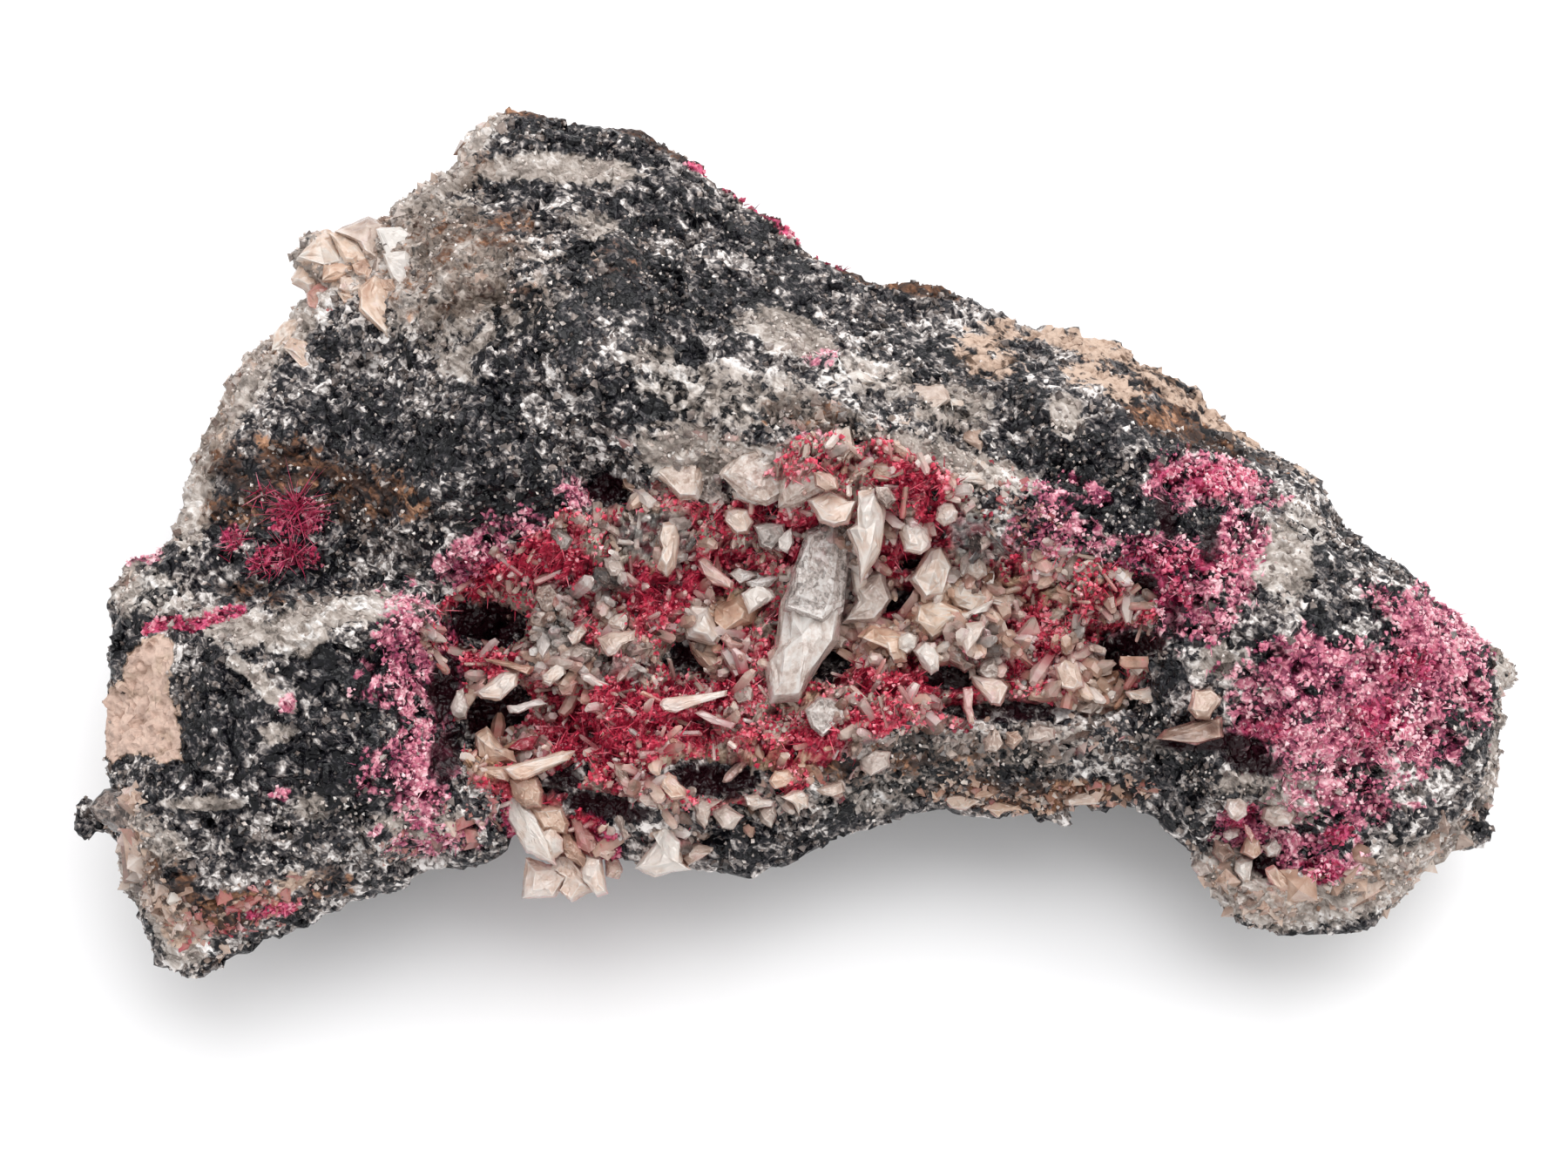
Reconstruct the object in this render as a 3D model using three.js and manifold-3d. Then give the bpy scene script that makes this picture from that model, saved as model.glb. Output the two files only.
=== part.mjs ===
// Erythrite specimen: a hand-sized piece of dark, fine-grained vein rock, broken on every side.
// A long hollow in its upper face is lined with quartz crystals and erythrite, and smaller
// hollows hold a spray of erythrite needles and a pocket of quartz and erythrite.
//
// Millimetres. +X runs along the specimen, +Y to the back, +Z up. The origin is on the resting
// surface, under the middle of the specimen's box.
import * as THREE from "three";
import { mergeVertices } from "three/addons/utils/BufferGeometryUtils.js";
import Module from "manifold-3d";

const wasm = await Module();
wasm.setup();

// ---------- driving dimensions ----------

const FACE_LEVEL = 15.4; // general height of the upper face
const SHOULDER = 2.1; // how fast the face climbs from its broken rim
const UNDERCUT = 9.5; // how far in from the rim the underside reaches the resting level
const SEAT_GAP = 0.35; // clearance between the rock and what grows on it
const COLUMNS = 54; // cells along the rock, an even number
const ROWS = 24; // cells across the rock, an even number
const MAT_FOOT = 5; // a mat goes this low before it is cut, well inside the rock
const MAT_CEILING = 3; // and nowhere stands higher than this over the rock
const EDGE_CROWDING = 0.45; // 0 spaces the rows evenly, 1 crowds them at the rim

// The rim seen from above, left to right, as [x, y, height of the rim].
const BACK_RIM = [
  [-39.0, -10.0, 11], [-39.0, -4.5, 11.5], [-38.8, -3.0, 12], [-37.5, -2.0, 12], [-36.3, -1.5, 12],
  [-35.5, 0, 12], [-35.0, 2, 12], [-34.6, 5, 12], [-34.0, 7, 12], [-32.5, 9.5, 12], [-32.0, 11, 12],
  [-30.5, 12.5, 12], [-29, 14, 12], [-26.5, 16.8, 12], [-25, 19, 12], [-22.5, 20.8, 12],
  [-20.5, 22.6, 12.5], [-19.5, 24, 13], [-18.5, 25.5, 13.5], [-16, 25.6, 13.5], [-13, 25, 13.5],
  [-8.5, 23.7, 13.5], [-5.8, 21.9, 13.5], [-2, 19, 13.5], [1, 16.2, 13.5], [3.5, 14.6, 13.5],
  [5.5, 13.9, 13.5], [9, 13.6, 13.5], [10.5, 13, 13], [14, 12, 13], [16, 11, 13], [18.5, 11, 13],
  [20, 9.6, 12.5], [21.5, 9, 12.5], [23.5, 7.5, 12], [24.3, 5.8, 12], [25.8, 5.2, 12], [28, 4, 11.5],
  [29.5, 2.5, 11.5], [30.8, 0.2, 11.5], [33, -1.8, 11], [35.5, -4, 11], [38.5, -6.3, 10], [39.6, -7, 10],
  [40, -10, 9],
];
const FRONT_RIM = [
  [-39.0, -10.0, 11], [-38.8, -13, 11], [-38.6, -16.0, 10.5], [-38.4, -18.3, 9.6], [-37.6, -19.7, 9.5],
  [-37.0, -21.5, 9], [-36.3, -23, 8.5], [-35.0, -24.2, 8.5], [-34.5, -25.6, 8], [-33.2, -25.4, 8],
  [-32, -24.2, 8], [-29.5, -23.5, 8.5], [-28, -22.5, 8.5], [-25, -21.2, 9], [-22, -20.2, 9],
  [-20, -19.6, 9.5], [-18.3, -19.9, 10], [-17.0, -19.0, 10.5], [-15.8, -17.8, 11], [-13, -17.6, 10.5],
  [-10.8, -18.4, 10], [-9.2, -19.2, 9.5], [-6.5, -19.7, 9], [-3, -19.6, 9], [-1, -19.4, 9], [1.2, -18.6, 9],
  [4, -17, 9], [7.3, -16, 9], [10.5, -16.5, 9], [14, -16.9, 9], [16.5, -15.8, 9], [18.5, -15.4, 9],
  [20, -16.4, 9], [21.6, -18, 8.5], [22.8, -19.6, 8.5], [23.2, -21.2, 8], [24.5, -22.5, 7.5],
  [26.5, -23, 7.5], [28.5, -22.6, 7.5], [31.5, -22.5, 8], [33.2, -21.4, 8], [35.2, -19.6, 8.5],
  [37.6, -17.6, 8.5], [38.6, -16, 8.5], [39.5, -13.3, 9], [40, -10, 9],
];

// What the upper face does, as rounded rises and sinks: [x, y, half length, half width, turn in
// degrees, rise]. A negative rise is a sink.
const LANDFORMS = [
  [-2, 4.5, 17, 6, -14, 5.6], // crest behind the long hollow
  [-13.6, 12.5, 9, 7, -30, 3.2], // back left shoulder
  [15.5, 4.5, 6.5, 4, -25, 3.6], // back right knob
  [-17.5, 0.5, 7, 4, -10, 4.2], // brow above the dark slope
  [-28.5, -0.7, 4.6, 3.6, 0, -1.6], // hollow of the needle spray
  [-24.5, -4.6, 9, 1.9, 4, -1.6], // trough under the dark slope
  [-25, -8.6, 8.5, 2.3, 3, 3.6], // pale ridge at the back of the left block
  [-27, -14.5, 7.5, 4.6, -10, 2.4], // left block
  [-36, -11, 2.4, 4.5, 0, -1.6], // bevel on the block's left side
  [25, -6.5, 8, 7.5, -35, 4.4], // right lobe
  [33, -9, 5, 4, -40, 1.2], // lobe's outer shoulder
  [29, -18.5, 7, 4, 0, -2.2], // lobe's front slope
  [10.5, -1.5, 7, 2.6, -22, 3], // rim between the crest and the lobe
  [-1.5, -17.2, 7, 1.8, 8, -1.8], // front lip, left
  [13, -15.5, 8, 2, 0, -1.2], // front lip, right
];

// The long hollow is sunk into the face as overlapping dishes with steep walls:
// [x, y, half length, half width, turn, depth].
const DISHES = [
  [-14.3, -9.6, 6.2, 6.0, -20, 3.6],
  [-4.0, -7.4, 9.6, 7.0, -12, 2.6],
  [9.5, -7.4, 9, 4.6, -14, 2.6],
  [-12.6, -15.2, 3.6, 3.2, 0, 2.6],
  [25.4, -18.4, 2.5, 2.8, 20, 2.4],
];
// The deepest places, where the hollow goes down between its crystals.
const PITS = [
  [-17.2, -6.6, 2.3, 1.5, -10, 3.4],
  [-15.4, -11.8, 3.2, 2.2, 20, 3.0],
  [-11, 0.6, 2.0, 1.3, 0, 3.6],
  [-5.7, -9.2, 2.0, 1.9, 0, 2.6],
  [-3.2, -15.4, 4.4, 1.4, 6, 2.4],
  [17.9, -6.2, 1.7, 1.2, 20, 3.8],
  [17.6, -9.9, 2.1, 2.3, 20, 3.4],
  [24.4, -13.6, 1.6, 1.2, 10, 2.0],
  [24.8, -19.2, 1.6, 1.3, 0, 1.8],
];

// ---------- helpers ----------

// A small seeded random source, so that every build is the same.
function makeRandom(seed) {
  let state = seed >>> 0;
  return () => {
    state = (state + 0x6d2b79f5) >>> 0;
    let mixed = Math.imul(state ^ (state >>> 15), state | 1);
    mixed ^= mixed + Math.imul(mixed ^ (mixed >>> 7), mixed | 61);
    return ((mixed ^ (mixed >>> 14)) >>> 0) / 4294967296;
  };
}

// A fixed number from -1 to 1 for each corner of a square lattice.
function latticeValue(i, j, layer) {
  const mixed = Math.sin(i * 127.1 + j * 311.7 + layer * 74.7) * 43758.5453;
  return 2 * (mixed - Math.floor(mixed)) - 1;
}

// Smooth noise of about the given wavelength, from -1 to 1.
function lumps(x, y, wavelength, layer) {
  const [px, py] = [x / wavelength, y / wavelength];
  const [i, j] = [Math.floor(px), Math.floor(py)];
  const [fx, fy] = [px - i, py - j].map((t) => t * t * (3 - 2 * t));
  const near = latticeValue(i, j, layer) * (1 - fx) + latticeValue(i + 1, j, layer) * fx;
  const far = latticeValue(i, j + 1, layer) * (1 - fx) + latticeValue(i + 1, j + 1, layer) * fx;
  return near * (1 - fy) + far * fy;
}

// Broken facets: each random centre carries a small sloping plane, and the nearest centre's
// plane is what shows, so that flats meet at ledges. From about -1 to 1.
function facets(x, y, size, layer) {
  const [i, j] = [Math.floor(x / size), Math.floor(y / size)];
  let best = { distance: Infinity, value: 0 };
  for (let di = -1; di <= 1; di++)
    for (let dj = -1; dj <= 1; dj++) {
      const [ci, cj] = [i + di, j + dj];
      const cx = (ci + 0.5 + 0.4 * latticeValue(ci, cj, layer)) * size;
      const cy = (cj + 0.5 + 0.4 * latticeValue(ci, cj, layer + 1)) * size;
      const distance = Math.hypot(x - cx, y - cy);
      if (distance >= best.distance) continue;
      const slope = (x - cx) * latticeValue(ci, cj, layer + 2) + (y - cy) * latticeValue(ci, cj, layer + 3);
      best = { distance, value: 0.45 * latticeValue(ci, cj, layer + 4) + (0.9 * slope) / size };
    }
  return best.value;
}

// How far a point is from the middle of an ellipse, where 1 is its edge.
function reach(x, y, [cx, cy, halfLength, halfWidth, turn]) {
  const angle = THREE.MathUtils.degToRad(turn);
  const [dx, dy] = [x - cx, y - cy];
  const along = dx * Math.cos(angle) + dy * Math.sin(angle);
  const across = dy * Math.cos(angle) - dx * Math.sin(angle);
  return Math.hypot(along / halfLength, across / halfWidth);
}

// The point of a rim line at a given x.
function rimAt(rim, x) {
  const next = Math.max(1, rim.findIndex((point) => point[0] >= x));
  const [a, b] = [rim[next - 1], rim[next]];
  const share = THREE.MathUtils.clamp((x - a[0]) / (b[0] - a[0] || 1), 0, 1);
  return a.map((value, k) => value + (b[k] - value) * share);
}

// The nearest point of the whole rim: how far away it is, and how high.
const RIM_LOOP = [...BACK_RIM, ...[...FRONT_RIM].reverse()];
function nearestRim(x, y) {
  let best = { distance: Infinity, height: 0 };
  for (let k = 1; k < RIM_LOOP.length; k++) {
    const [a, b] = [RIM_LOOP[k - 1], RIM_LOOP[k]];
    const [ex, ey] = [b[0] - a[0], b[1] - a[1]];
    const along = ((x - a[0]) * ex + (y - a[1]) * ey) / (ex * ex + ey * ey || 1);
    const share = THREE.MathUtils.clamp(along, 0, 1);
    const distance = Math.hypot(x - a[0] - share * ex, y - a[1] - share * ey);
    if (distance < best.distance) best = { distance, height: a[2] + (b[2] - a[2]) * share };
  }
  return best;
}

// A closed mesh as a solid that can be joined and cut.
function solidOf(geometry) {
  const bare = geometry.index ? geometry.toNonIndexed() : geometry.clone();
  bare.deleteAttribute("normal");
  bare.deleteAttribute("uv");
  const merged = mergeVertices(bare, 1e-4);
  return new wasm.Manifold(
    new wasm.Mesh({
      numProp: 3,
      vertProperties: merged.attributes.position.array,
      triVerts: new Uint32Array(merged.index.array),
    }),
  );
}

// A solid's largest connected body, so that a crumb cut loose is dropped.
function mainBody(solid) {
  return solid.decompose().reduce((a, b) => (a.volume() > b.volume() ? a : b));
}

function meshOf(name, solid, material) {
  const { vertProperties, triVerts } = solid.getMesh();
  const geometry = new THREE.BufferGeometry();
  geometry.setAttribute("position", new THREE.BufferAttribute(new Float32Array(vertProperties), 3));
  geometry.setIndex(new THREE.BufferAttribute(new Uint32Array(triVerts), 1));
  geometry.computeVertexNormals();
  const mesh = new THREE.Mesh(geometry, material);
  mesh.name = name;
  return mesh;
}

// ---------- the rock's two faces ----------

// Height of the upper face.
function faceHeight(x, y) {
  const rim = nearestRim(x, y);
  let height = FACE_LEVEL;
  for (const form of LANDFORMS) height += form[5] * Math.exp(-(reach(x, y, form) ** 2));
  height += 0.7 * lumps(x, y, 6.1, 1) + 0.45 * lumps(x, y, 2.7, 2) + 0.75 * facets(x, y, 5.4, 30);
  const climb = 1 - Math.exp(-rim.distance / SHOULDER);
  height = rim.height + (height - rim.height) * climb;
  let dish = 0;
  for (const form of DISHES) {
    const inside = THREE.MathUtils.smoothstep(1.25 - reach(x, y, form), 0, 0.5);
    dish = Math.max(dish, form[5] * inside);
  }
  for (const form of PITS) dish += form[5] * THREE.MathUtils.smoothstep(1.4 - reach(x, y, form), 0, 0.9);
  return height - dish * climb;
}

// The flats that the rock rests on: [x, y, half length, half width, turn].
const RESTING_FLATS = [
  [-28, -13, 4.5, 3.2, 10],
  [-16, 13, 3.6, 4.4, 0],
  [2, -6, 7, 3.6, -6],
  [27, -10, 4, 4.6, 20],
];

// Height of the underside: it falls away from the rim in a rough curve, and shallow broken
// hollows are left between the flats that it rests on.
function undersideHeight(x, y) {
  const rim = nearestRim(x, y);
  const inward = Math.min(1, rim.distance / (UNDERCUT + 1.5 * lumps(x, y, 9, 5)));
  const flank = rim.height * (1 - inward) ** 1.35;
  const chips = 0.8 * lumps(x, y, 4.6, 6) + 2.2 * facets(x, y, 7.5, 40);
  const rough = (chips + 0.6) * Math.sin(Math.PI * Math.min(0.6, inward));
  const flats = RESTING_FLATS.map((flat) => THREE.MathUtils.smoothstep(1.5 - reach(x, y, flat), 0, 0.45));
  const raised = flank + rough * Math.min(1, rim.distance / 1.5);
  return Math.max(0, raised * (1 - Math.max(...flats)));
}

// The rock is one grid for each face, and both share the rim. The underside uses every second
// line of the grid, and its outermost cells also take the rim's odd points.
function rockGeometry() {
  const first = BACK_RIM[0][0];
  const last = BACK_RIM.at(-1)[0];
  const crowd = (t) => t + (0.5 - 0.5 * Math.cos(Math.PI * t) - t) * EDGE_CROWDING;
  const isRim = (column, row) => column === 0 || column === COLUMNS || row === 0 || row === ROWS;
  // The two ends of the rock are short edges between points near the ends of the rim lines.
  const lineAt = (rim, corners, column, x) => {
    if (column === 0) return corners[0];
    if (column === COLUMNS) return corners[1];
    return rimAt(rim, x);
  };
  const onSheet = (column, row) => {
    const x = first + (last - first) * crowd(column / COLUMNS);
    const back = lineAt(BACK_RIM, [BACK_RIM[1], BACK_RIM.at(-2)], column, x);
    const front = lineAt(FRONT_RIM, [FRONT_RIM[2], FRONT_RIM.at(-3)], column, x);
    return front.map((value, k) => value + (back[k] - value) * crowd(row / ROWS));
  };

  const positions = [];
  const indices = [];
  const added = new Map();
  const vertex = (column, row, side) => {
    const onRim = isRim(column, row);
    const key = [column, row, onRim ? 0 : side].join();
    if (added.has(key)) return added.get(key);
    let [x, y, z] = onSheet(column, row);
    if (!onRim) {
      x += 0.22 * latticeValue(column, row, 11);
      y += 0.22 * latticeValue(column, row, 12);
      z = side === 0 ? faceHeight(x, y) + 0.24 * latticeValue(column, row, 13) : undersideHeight(x, y);
    }
    positions.push(x, y, z);
    added.set(key, positions.length / 3 - 1);
    return added.get(key);
  };

  for (let column = 0; column < COLUMNS; column++)
    for (let row = 0; row < ROWS; row++) {
      const loop = [[0, 0], [1, 0], [1, 1], [0, 1]].map(([dc, dr]) => vertex(column + dc, row + dr, 0));
      if ((column + row) % 2) loop.push(loop.shift());
      const [a, b, c, d] = loop;
      indices.push(a, b, c, a, c, d);
    }
  const around = [[0, 0], [1, 0], [2, 0], [2, 1], [2, 2], [1, 2], [0, 2], [0, 1]];
  for (let column = 0; column < COLUMNS; column += 2)
    for (let row = 0; row < ROWS; row += 2) {
      const spots = around
        .map(([dc, dr]) => [column + dc, row + dr])
        .filter(([c, r]) => isRim(c, r) || (c % 2 === 0 && r % 2 === 0));
      const innermost = spots.findIndex(([c, r]) => !isRim(c, r));
      const fan = [...spots.slice(innermost), ...spots.slice(0, innermost)].map(([c, r]) => vertex(c, r, 1));
      for (let k = 2; k < fan.length; k++) indices.push(fan[0], fan[k], fan[k - 1]);
    }
  const geometry = new THREE.BufferGeometry();
  geometry.setAttribute("position", new THREE.BufferAttribute(new Float32Array(positions), 3));
  geometry.setIndex(indices);
  return geometry;
}

// ---------- crystals ----------

// A crystal is a prism with a pointed end, turned from its root to its tip. Quartz has six
// sides, and an erythrite needle four. Flat crystals are blades.
function crystal({ from, to, width, thickness = width, sides = 6, point = 0.75, spin = 0 }) {
  const [root, tip] = [new THREE.Vector3(...from), new THREE.Vector3(...to)];
  const length = root.distanceTo(tip);
  const shoulder = Math.max(0.3 * length, length - point * width);
  const profile = [[0, 0], [0.5, 0], [0.5, shoulder], [0, length]].map(([r, h]) => new THREE.Vector2(r, h));
  const geometry = new THREE.LatheGeometry(profile, sides);
  geometry.rotateY(THREE.MathUtils.degToRad(spin));
  geometry.scale(width, 1, thickness);
  const direction = tip.sub(root).normalize();
  geometry.applyQuaternion(new THREE.Quaternion().setFromUnitVectors(new THREE.Vector3(0, 1, 0), direction));
  geometry.translate(root.x, root.y, root.z);
  return solidOf(geometry);
}

// A broken lump: a twenty-sided ball, squeezed and knocked out of shape.
function lump([x, y, z], [rx, ry, rz], random) {
  const geometry = mergeVertices(bareBall());
  const spots = geometry.attributes.position;
  for (let k = 0; k < spots.count; k++) {
    const size = 0.8 + 0.35 * random();
    spots.setXYZ(k, x + rx * size * spots.getX(k), y + ry * size * spots.getY(k), z + rz * size * spots.getZ(k));
  }
  return solidOf(geometry);
}

function bareBall() {
  const ball = new THREE.IcosahedronGeometry(1, 0);
  ball.deleteAttribute("normal");
  ball.deleteAttribute("uv");
  return ball;
}

// A point just inside the upper face, where a crystal takes root.
function rootAt(x, y, depth) {
  return [x, y, faceHeight(x, y) - depth];
}

// Crystals scattered over a dish. Each leans out from straight up by a random amount.
function scatter({ dishes, count, spacing, lengths, widths, lean, sides, thin, random }) {
  const roots = [];
  const made = [];
  for (let attempt = 0; made.length < count && attempt < 4000; attempt++) {
    const dish = dishes[Math.floor(random() * dishes.length)];
    const angle = 2 * Math.PI * random();
    const out = 0.95 * Math.sqrt(random());
    const turn = THREE.MathUtils.degToRad(dish[4]);
    const [along, across] = [dish[2] * out * Math.cos(angle), dish[3] * out * Math.sin(angle)];
    const x = dish[0] + along * Math.cos(turn) - across * Math.sin(turn);
    const y = dish[1] + along * Math.sin(turn) + across * Math.cos(turn);
    const crowded = roots.some(([rx, ry]) => Math.hypot(rx - x, ry - y) < spacing);
    if (crowded || nearestRim(x, y).distance < 1.6) continue;
    roots.push([x, y]);
    const length = lengths[0] + (lengths[1] - lengths[0]) * random() ** 1.5;
    const width = widths[0] + (widths[1] - widths[0]) * random();
    const bearing = 2 * Math.PI * random();
    const tilt = THREE.MathUtils.degToRad(lean * Math.sqrt(random()));
    const from = rootAt(x, y, 0.3);
    const reachOut = length * Math.sin(tilt);
    const to = [x + reachOut * Math.cos(bearing), y + reachOut * Math.sin(bearing), from[2] + length * Math.cos(tilt)];
    made.push(crystal({ from, to, width, thickness: width * thin, sides, spin: 360 * random() }));
  }
  return made;
}

// A mat that covers dishes of the rock: a low sheet whose top follows the face. What is left of
// it after the rock is cut away is everywhere at least the seat gap above the rock.
function mat({ dishes, thickness, cell, layer }) {
  const rawReach = dishes.map(([, , halfLength, halfWidth]) => 1.3 * Math.max(halfLength, halfWidth));
  const low = [0, 1].map((k) => Math.min(...dishes.map((dish, n) => dish[k] - rawReach[n])));
  const high = [0, 1].map((k) => Math.max(...dishes.map((dish, n) => dish[k] + rawReach[n])));
  const [nx, ny] = [0, 1].map((k) => Math.ceil((high[k] - low[k]) / cell));
  const geometry = new THREE.BoxGeometry(high[0] - low[0], high[1] - low[1], 1, nx, ny, 1);
  geometry.translate((low[0] + high[0]) / 2, (low[1] + high[1]) / 2, 0);
  const spots = geometry.attributes.position;
  for (let k = 0; k < spots.count; k++) {
    const [x, y] = [spots.getX(k), spots.getY(k)];
    const onDish = Math.max(...dishes.map((dish) => THREE.MathUtils.smoothstep(1.16 - reach(x, y, dish), 0, 0.3)));
    const inside = onDish * THREE.MathUtils.smoothstep(nearestRim(x, y).distance, 0.6, 1.8);
    const rise = -1.2 + inside * (1.2 + thickness * (1 + 0.5 * lumps(x, y, 2.6, layer)));
    spots.setZ(k, spots.getZ(k) > 0 ? faceHeight(x, y) + rise : MAT_FOOT);
  }
  return solidOf(geometry);
}

// A solid with clearance above it, to each side and in front, to cut what grows on it.
function withClearance(solid) {
  const shifts = [[0, 0, 1], [1, 0, 0], [-1, 0, 0], [0, -1, 0]].map((shift) => shift.map((d) => d * SEAT_GAP));
  return shifts.reduce((whole, shift) => whole.add(solid.translate(shift)), solid);
}

// Joins crystals to a mat, and seats them on the rock. The mat is first kept to what lies over
// the rock.
function grownOn(rock, clearance, matSolid, crystals) {
  const overRock = matSolid.intersect(rock.translate([0, 0, MAT_CEILING]));
  const joined = crystals.reduce((whole, solid) => whole.add(solid), overRock);
  return mainBody(joined.subtract(clearance));
}

// ---------- the host rock ----------

// Lumps and broken crystals that stand out of the rim: [place, half sizes].
const RIM_LUMPS = [
  [[-27.4, 16.0, 12.7], [2.7, 2.2, 1.9]], // knob of milky quartz
  [[-26.0, 14.6, 13.6], [2.1, 1.7, 1.5]],
  [[-38.4, -17.0, 10.2], [2.1, 1.2, 1.1]], // spur at the left
  [[-36.2, -20.6, 9.4], [1.5, 1.5, 1.3]],
  [[-34.4, -23.4, 8.6], [1.7, 1.6, 1.3]],
  [[39.0, -8.2, 9.6], [1.2, 1.5, 1.3]],
  [[37.6, -17.0, 8.4], [1.4, 1.2, 1.2]],
  [[10.4, -15.4, 8.6], [2.6, 1.5, 1.3]], // nodules under the front lip
  [[14.2, -15.7, 8.8], [1.9, 1.5, 1.1]],
];

const random = makeRandom(20);
const rockBody = RIM_LUMPS.reduce(
  (rock, [place, halfSizes]) => rock.add(lump(place, halfSizes, random)),
  solidOf(rockGeometry()),
);
const rock = mainBody(rockBody);
const rockClearance = withClearance(rock);

// ---------- the long hollow ----------

const LONG_HOLLOW = DISHES.slice(0, 3);
const FRONT_POCKET = DISHES[4];

// The crystals that stand out, as [root, tip, width, thickness].
const LONG_HOLLOW_CRYSTALS = [
  [[2.6, -2.0, 15.4], [-0.6, -11.6, 16.8], 3.4, 1.5], // great leaning blade
  [[4.1, 0.6, 16.4], [3.3, -5.6, 17.6], 2.3, 2.0],
  [[6.2, -3.2, 13.5], [4.3, -8.2, 16.6], 2.6, 1.2],
  [[-6.0, -6.0, 13.0], [-3.4, -9.9, 15.6], 1.8, 1.7],
  [[-0.8, -4.8, 15.2], [-4.4, -6.4, 16.0], 1.6, 1.4],
  [[-10.8, -13.8, 12.4], [-15.8, -14.9, 13.6], 1.1, 0.9],
  [[-15.6, -15.2, 10.6], [-17.7, -13.2, 14.2], 2.2, 1.5],
  [[-14.0, -9.0, 11.2], [-17.6, -10.6, 13.2], 1.7, 0.8],
  [[-18.6, -13.0, 10.4], [-19.2, -10.4, 13.4], 1.6, 0.7],
  [[-3.2, -10.4, 13.2], [-7.4, -11.4, 14.8], 1.0, 0.8],
  [[-7.2, -12.2, 12.4], [-3.4, -13.6, 13.8], 1.2, 0.8],
  [[6.2, -8.6, 13.2], [6.0, -9.6, 16.6], 2.4, 2.2], // orange nodules
  [[8.0, -7.2, 13.2], [8.2, -8.0, 16.8], 2.6, 2.2],
  [[4.6, -9.6, 13.0], [3.6, -10.6, 16.0], 2.0, 1.8],
  [[8.4, -10.6, 12.6], [9.2, -13.8, 13.9], 1.1, 1.0],
  [[11.0, -9.4, 13.0], [10.4, -12.6, 15.2], 2.2, 0.9],
  [[-8.6, -4.4, 12.8], [-7.2, -7.2, 15.6], 2.0, 1.4],
  [[-12.6, -6.2, 11.8], [-12.0, -8.8, 14.6], 1.9, 1.3],
  [[-11.0, -10.4, 11.2], [-9.0, -12.6, 14.2], 1.7, 1.2],
  [[-5.2, -16.0, 11.0], [-9.2, -19.3, 11.6], 2.2, 1.8], // pale point at the front lip
  [[-10.0, -15.4, 11.0], [-8.4, -16.6, 13.4], 1.8, 1.6],
  [[1.0, -13.4, 12.0], [1.6, -15.2, 14.4], 1.9, 1.4],
  [[15.8, -9.6, 12.2], [15.0, -12.2, 14.4], 1.7, 1.2],
  [[26.0, -12.0, 14.8], [20.2, -14.2, 14.6], 1.5, 1.2], // rod along the right wall
];

const longHollowMat = mat({ dishes: LONG_HOLLOW, thickness: 1.5, cell: 1.9, layer: 21 });
const longHollowCrust = grownOn(rock, rockClearance, longHollowMat, [
  ...LONG_HOLLOW_CRYSTALS.map(([from, to, width, thickness], k) =>
    crystal({ from, to, width, thickness, spin: 40 * k }),
  ),
  ...scatter({
    dishes: LONG_HOLLOW, count: 34, spacing: 2.0, lengths: [3.0, 5.0], widths: [1.2, 2.2],
    lean: 50, sides: 6, thin: 0.75, random,
  }),
]);

// ---------- the crystals that hang over the front rim ----------

const FRONT_CLUSTER_CRYSTALS = [
  [[-15.0, -15.8, 12.4], [-14.8, -21.3, 9.8], 2.6, 2.3],
  [[-13.6, -15.8, 12.6], [-12.7, -21.6, 9.5], 2.9, 2.4],
  [[-12.6, -16.4, 12.0], [-11.2, -21.0, 9.6], 2.1, 1.8],
  [[-11.8, -16.6, 11.8], [-10.4, -19.8, 10.2], 1.6, 1.5],
  [[-14.6, -18.6, 11.2], [-16.0, -21.0, 10.6], 1.6, 1.4],
  [[-13.2, -18.4, 11.4], [-13.6, -20.4, 12.2], 1.5, 1.3],
  [[-12.2, -19.0, 10.8], [-10.4, -21.2, 9.0], 1.5, 1.3],
];

// The cluster leans on the long hollow's crust, and keeps the same clearance from it.
const frontCluster = mainBody(
  FRONT_CLUSTER_CRYSTALS
    .map(([from, to, width, thickness], k) => crystal({ from, to, width, thickness, spin: 25 * k }))
    .reduce((whole, solid) => whole.add(solid))
    .subtract(rockClearance)
    .subtract(withClearance(longHollowCrust)),
);

// ---------- the needle spray and the front pocket ----------

// Needles spread from a few centres low on the hollow's floor: [x, y, how many, length].
const SPRAY_CENTRES = [
  [-28.0, -0.2, 13, 2.9],
  [-29.6, -1.6, 7, 2.1],
  [-27.2, -2.3, 7, 2.3],
];
const SPRAY_HOLLOW = [[-28.4, -1.0, 2.7, 2.2, 0, 0]];

function needles([x, y, count, length]) {
  const golden = Math.PI * (3 - Math.sqrt(5));
  return Array.from({ length: count }, (_, k) => {
    const tilt = THREE.MathUtils.degToRad(24 + 54 * Math.sqrt((k + 0.5) / count));
    const bearing = golden * k + 0.4 * random();
    const size = length * (0.8 + 0.3 * random());
    const from = rootAt(x, y, -0.2);
    const out = size * Math.sin(tilt);
    const to = [x + out * Math.cos(bearing), y + out * Math.sin(bearing), from[2] + size * Math.cos(tilt)];
    return crystal({ from, to, width: 0.42, thickness: 0.3, sides: 4, point: 1.5, spin: 90 * random() });
  });
}

const erythriteSpray = grownOn(
  rock,
  rockClearance,
  mat({ dishes: SPRAY_HOLLOW, thickness: 0.9, cell: 1.3, layer: 22 }),
  SPRAY_CENTRES.flatMap(needles),
);

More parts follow.
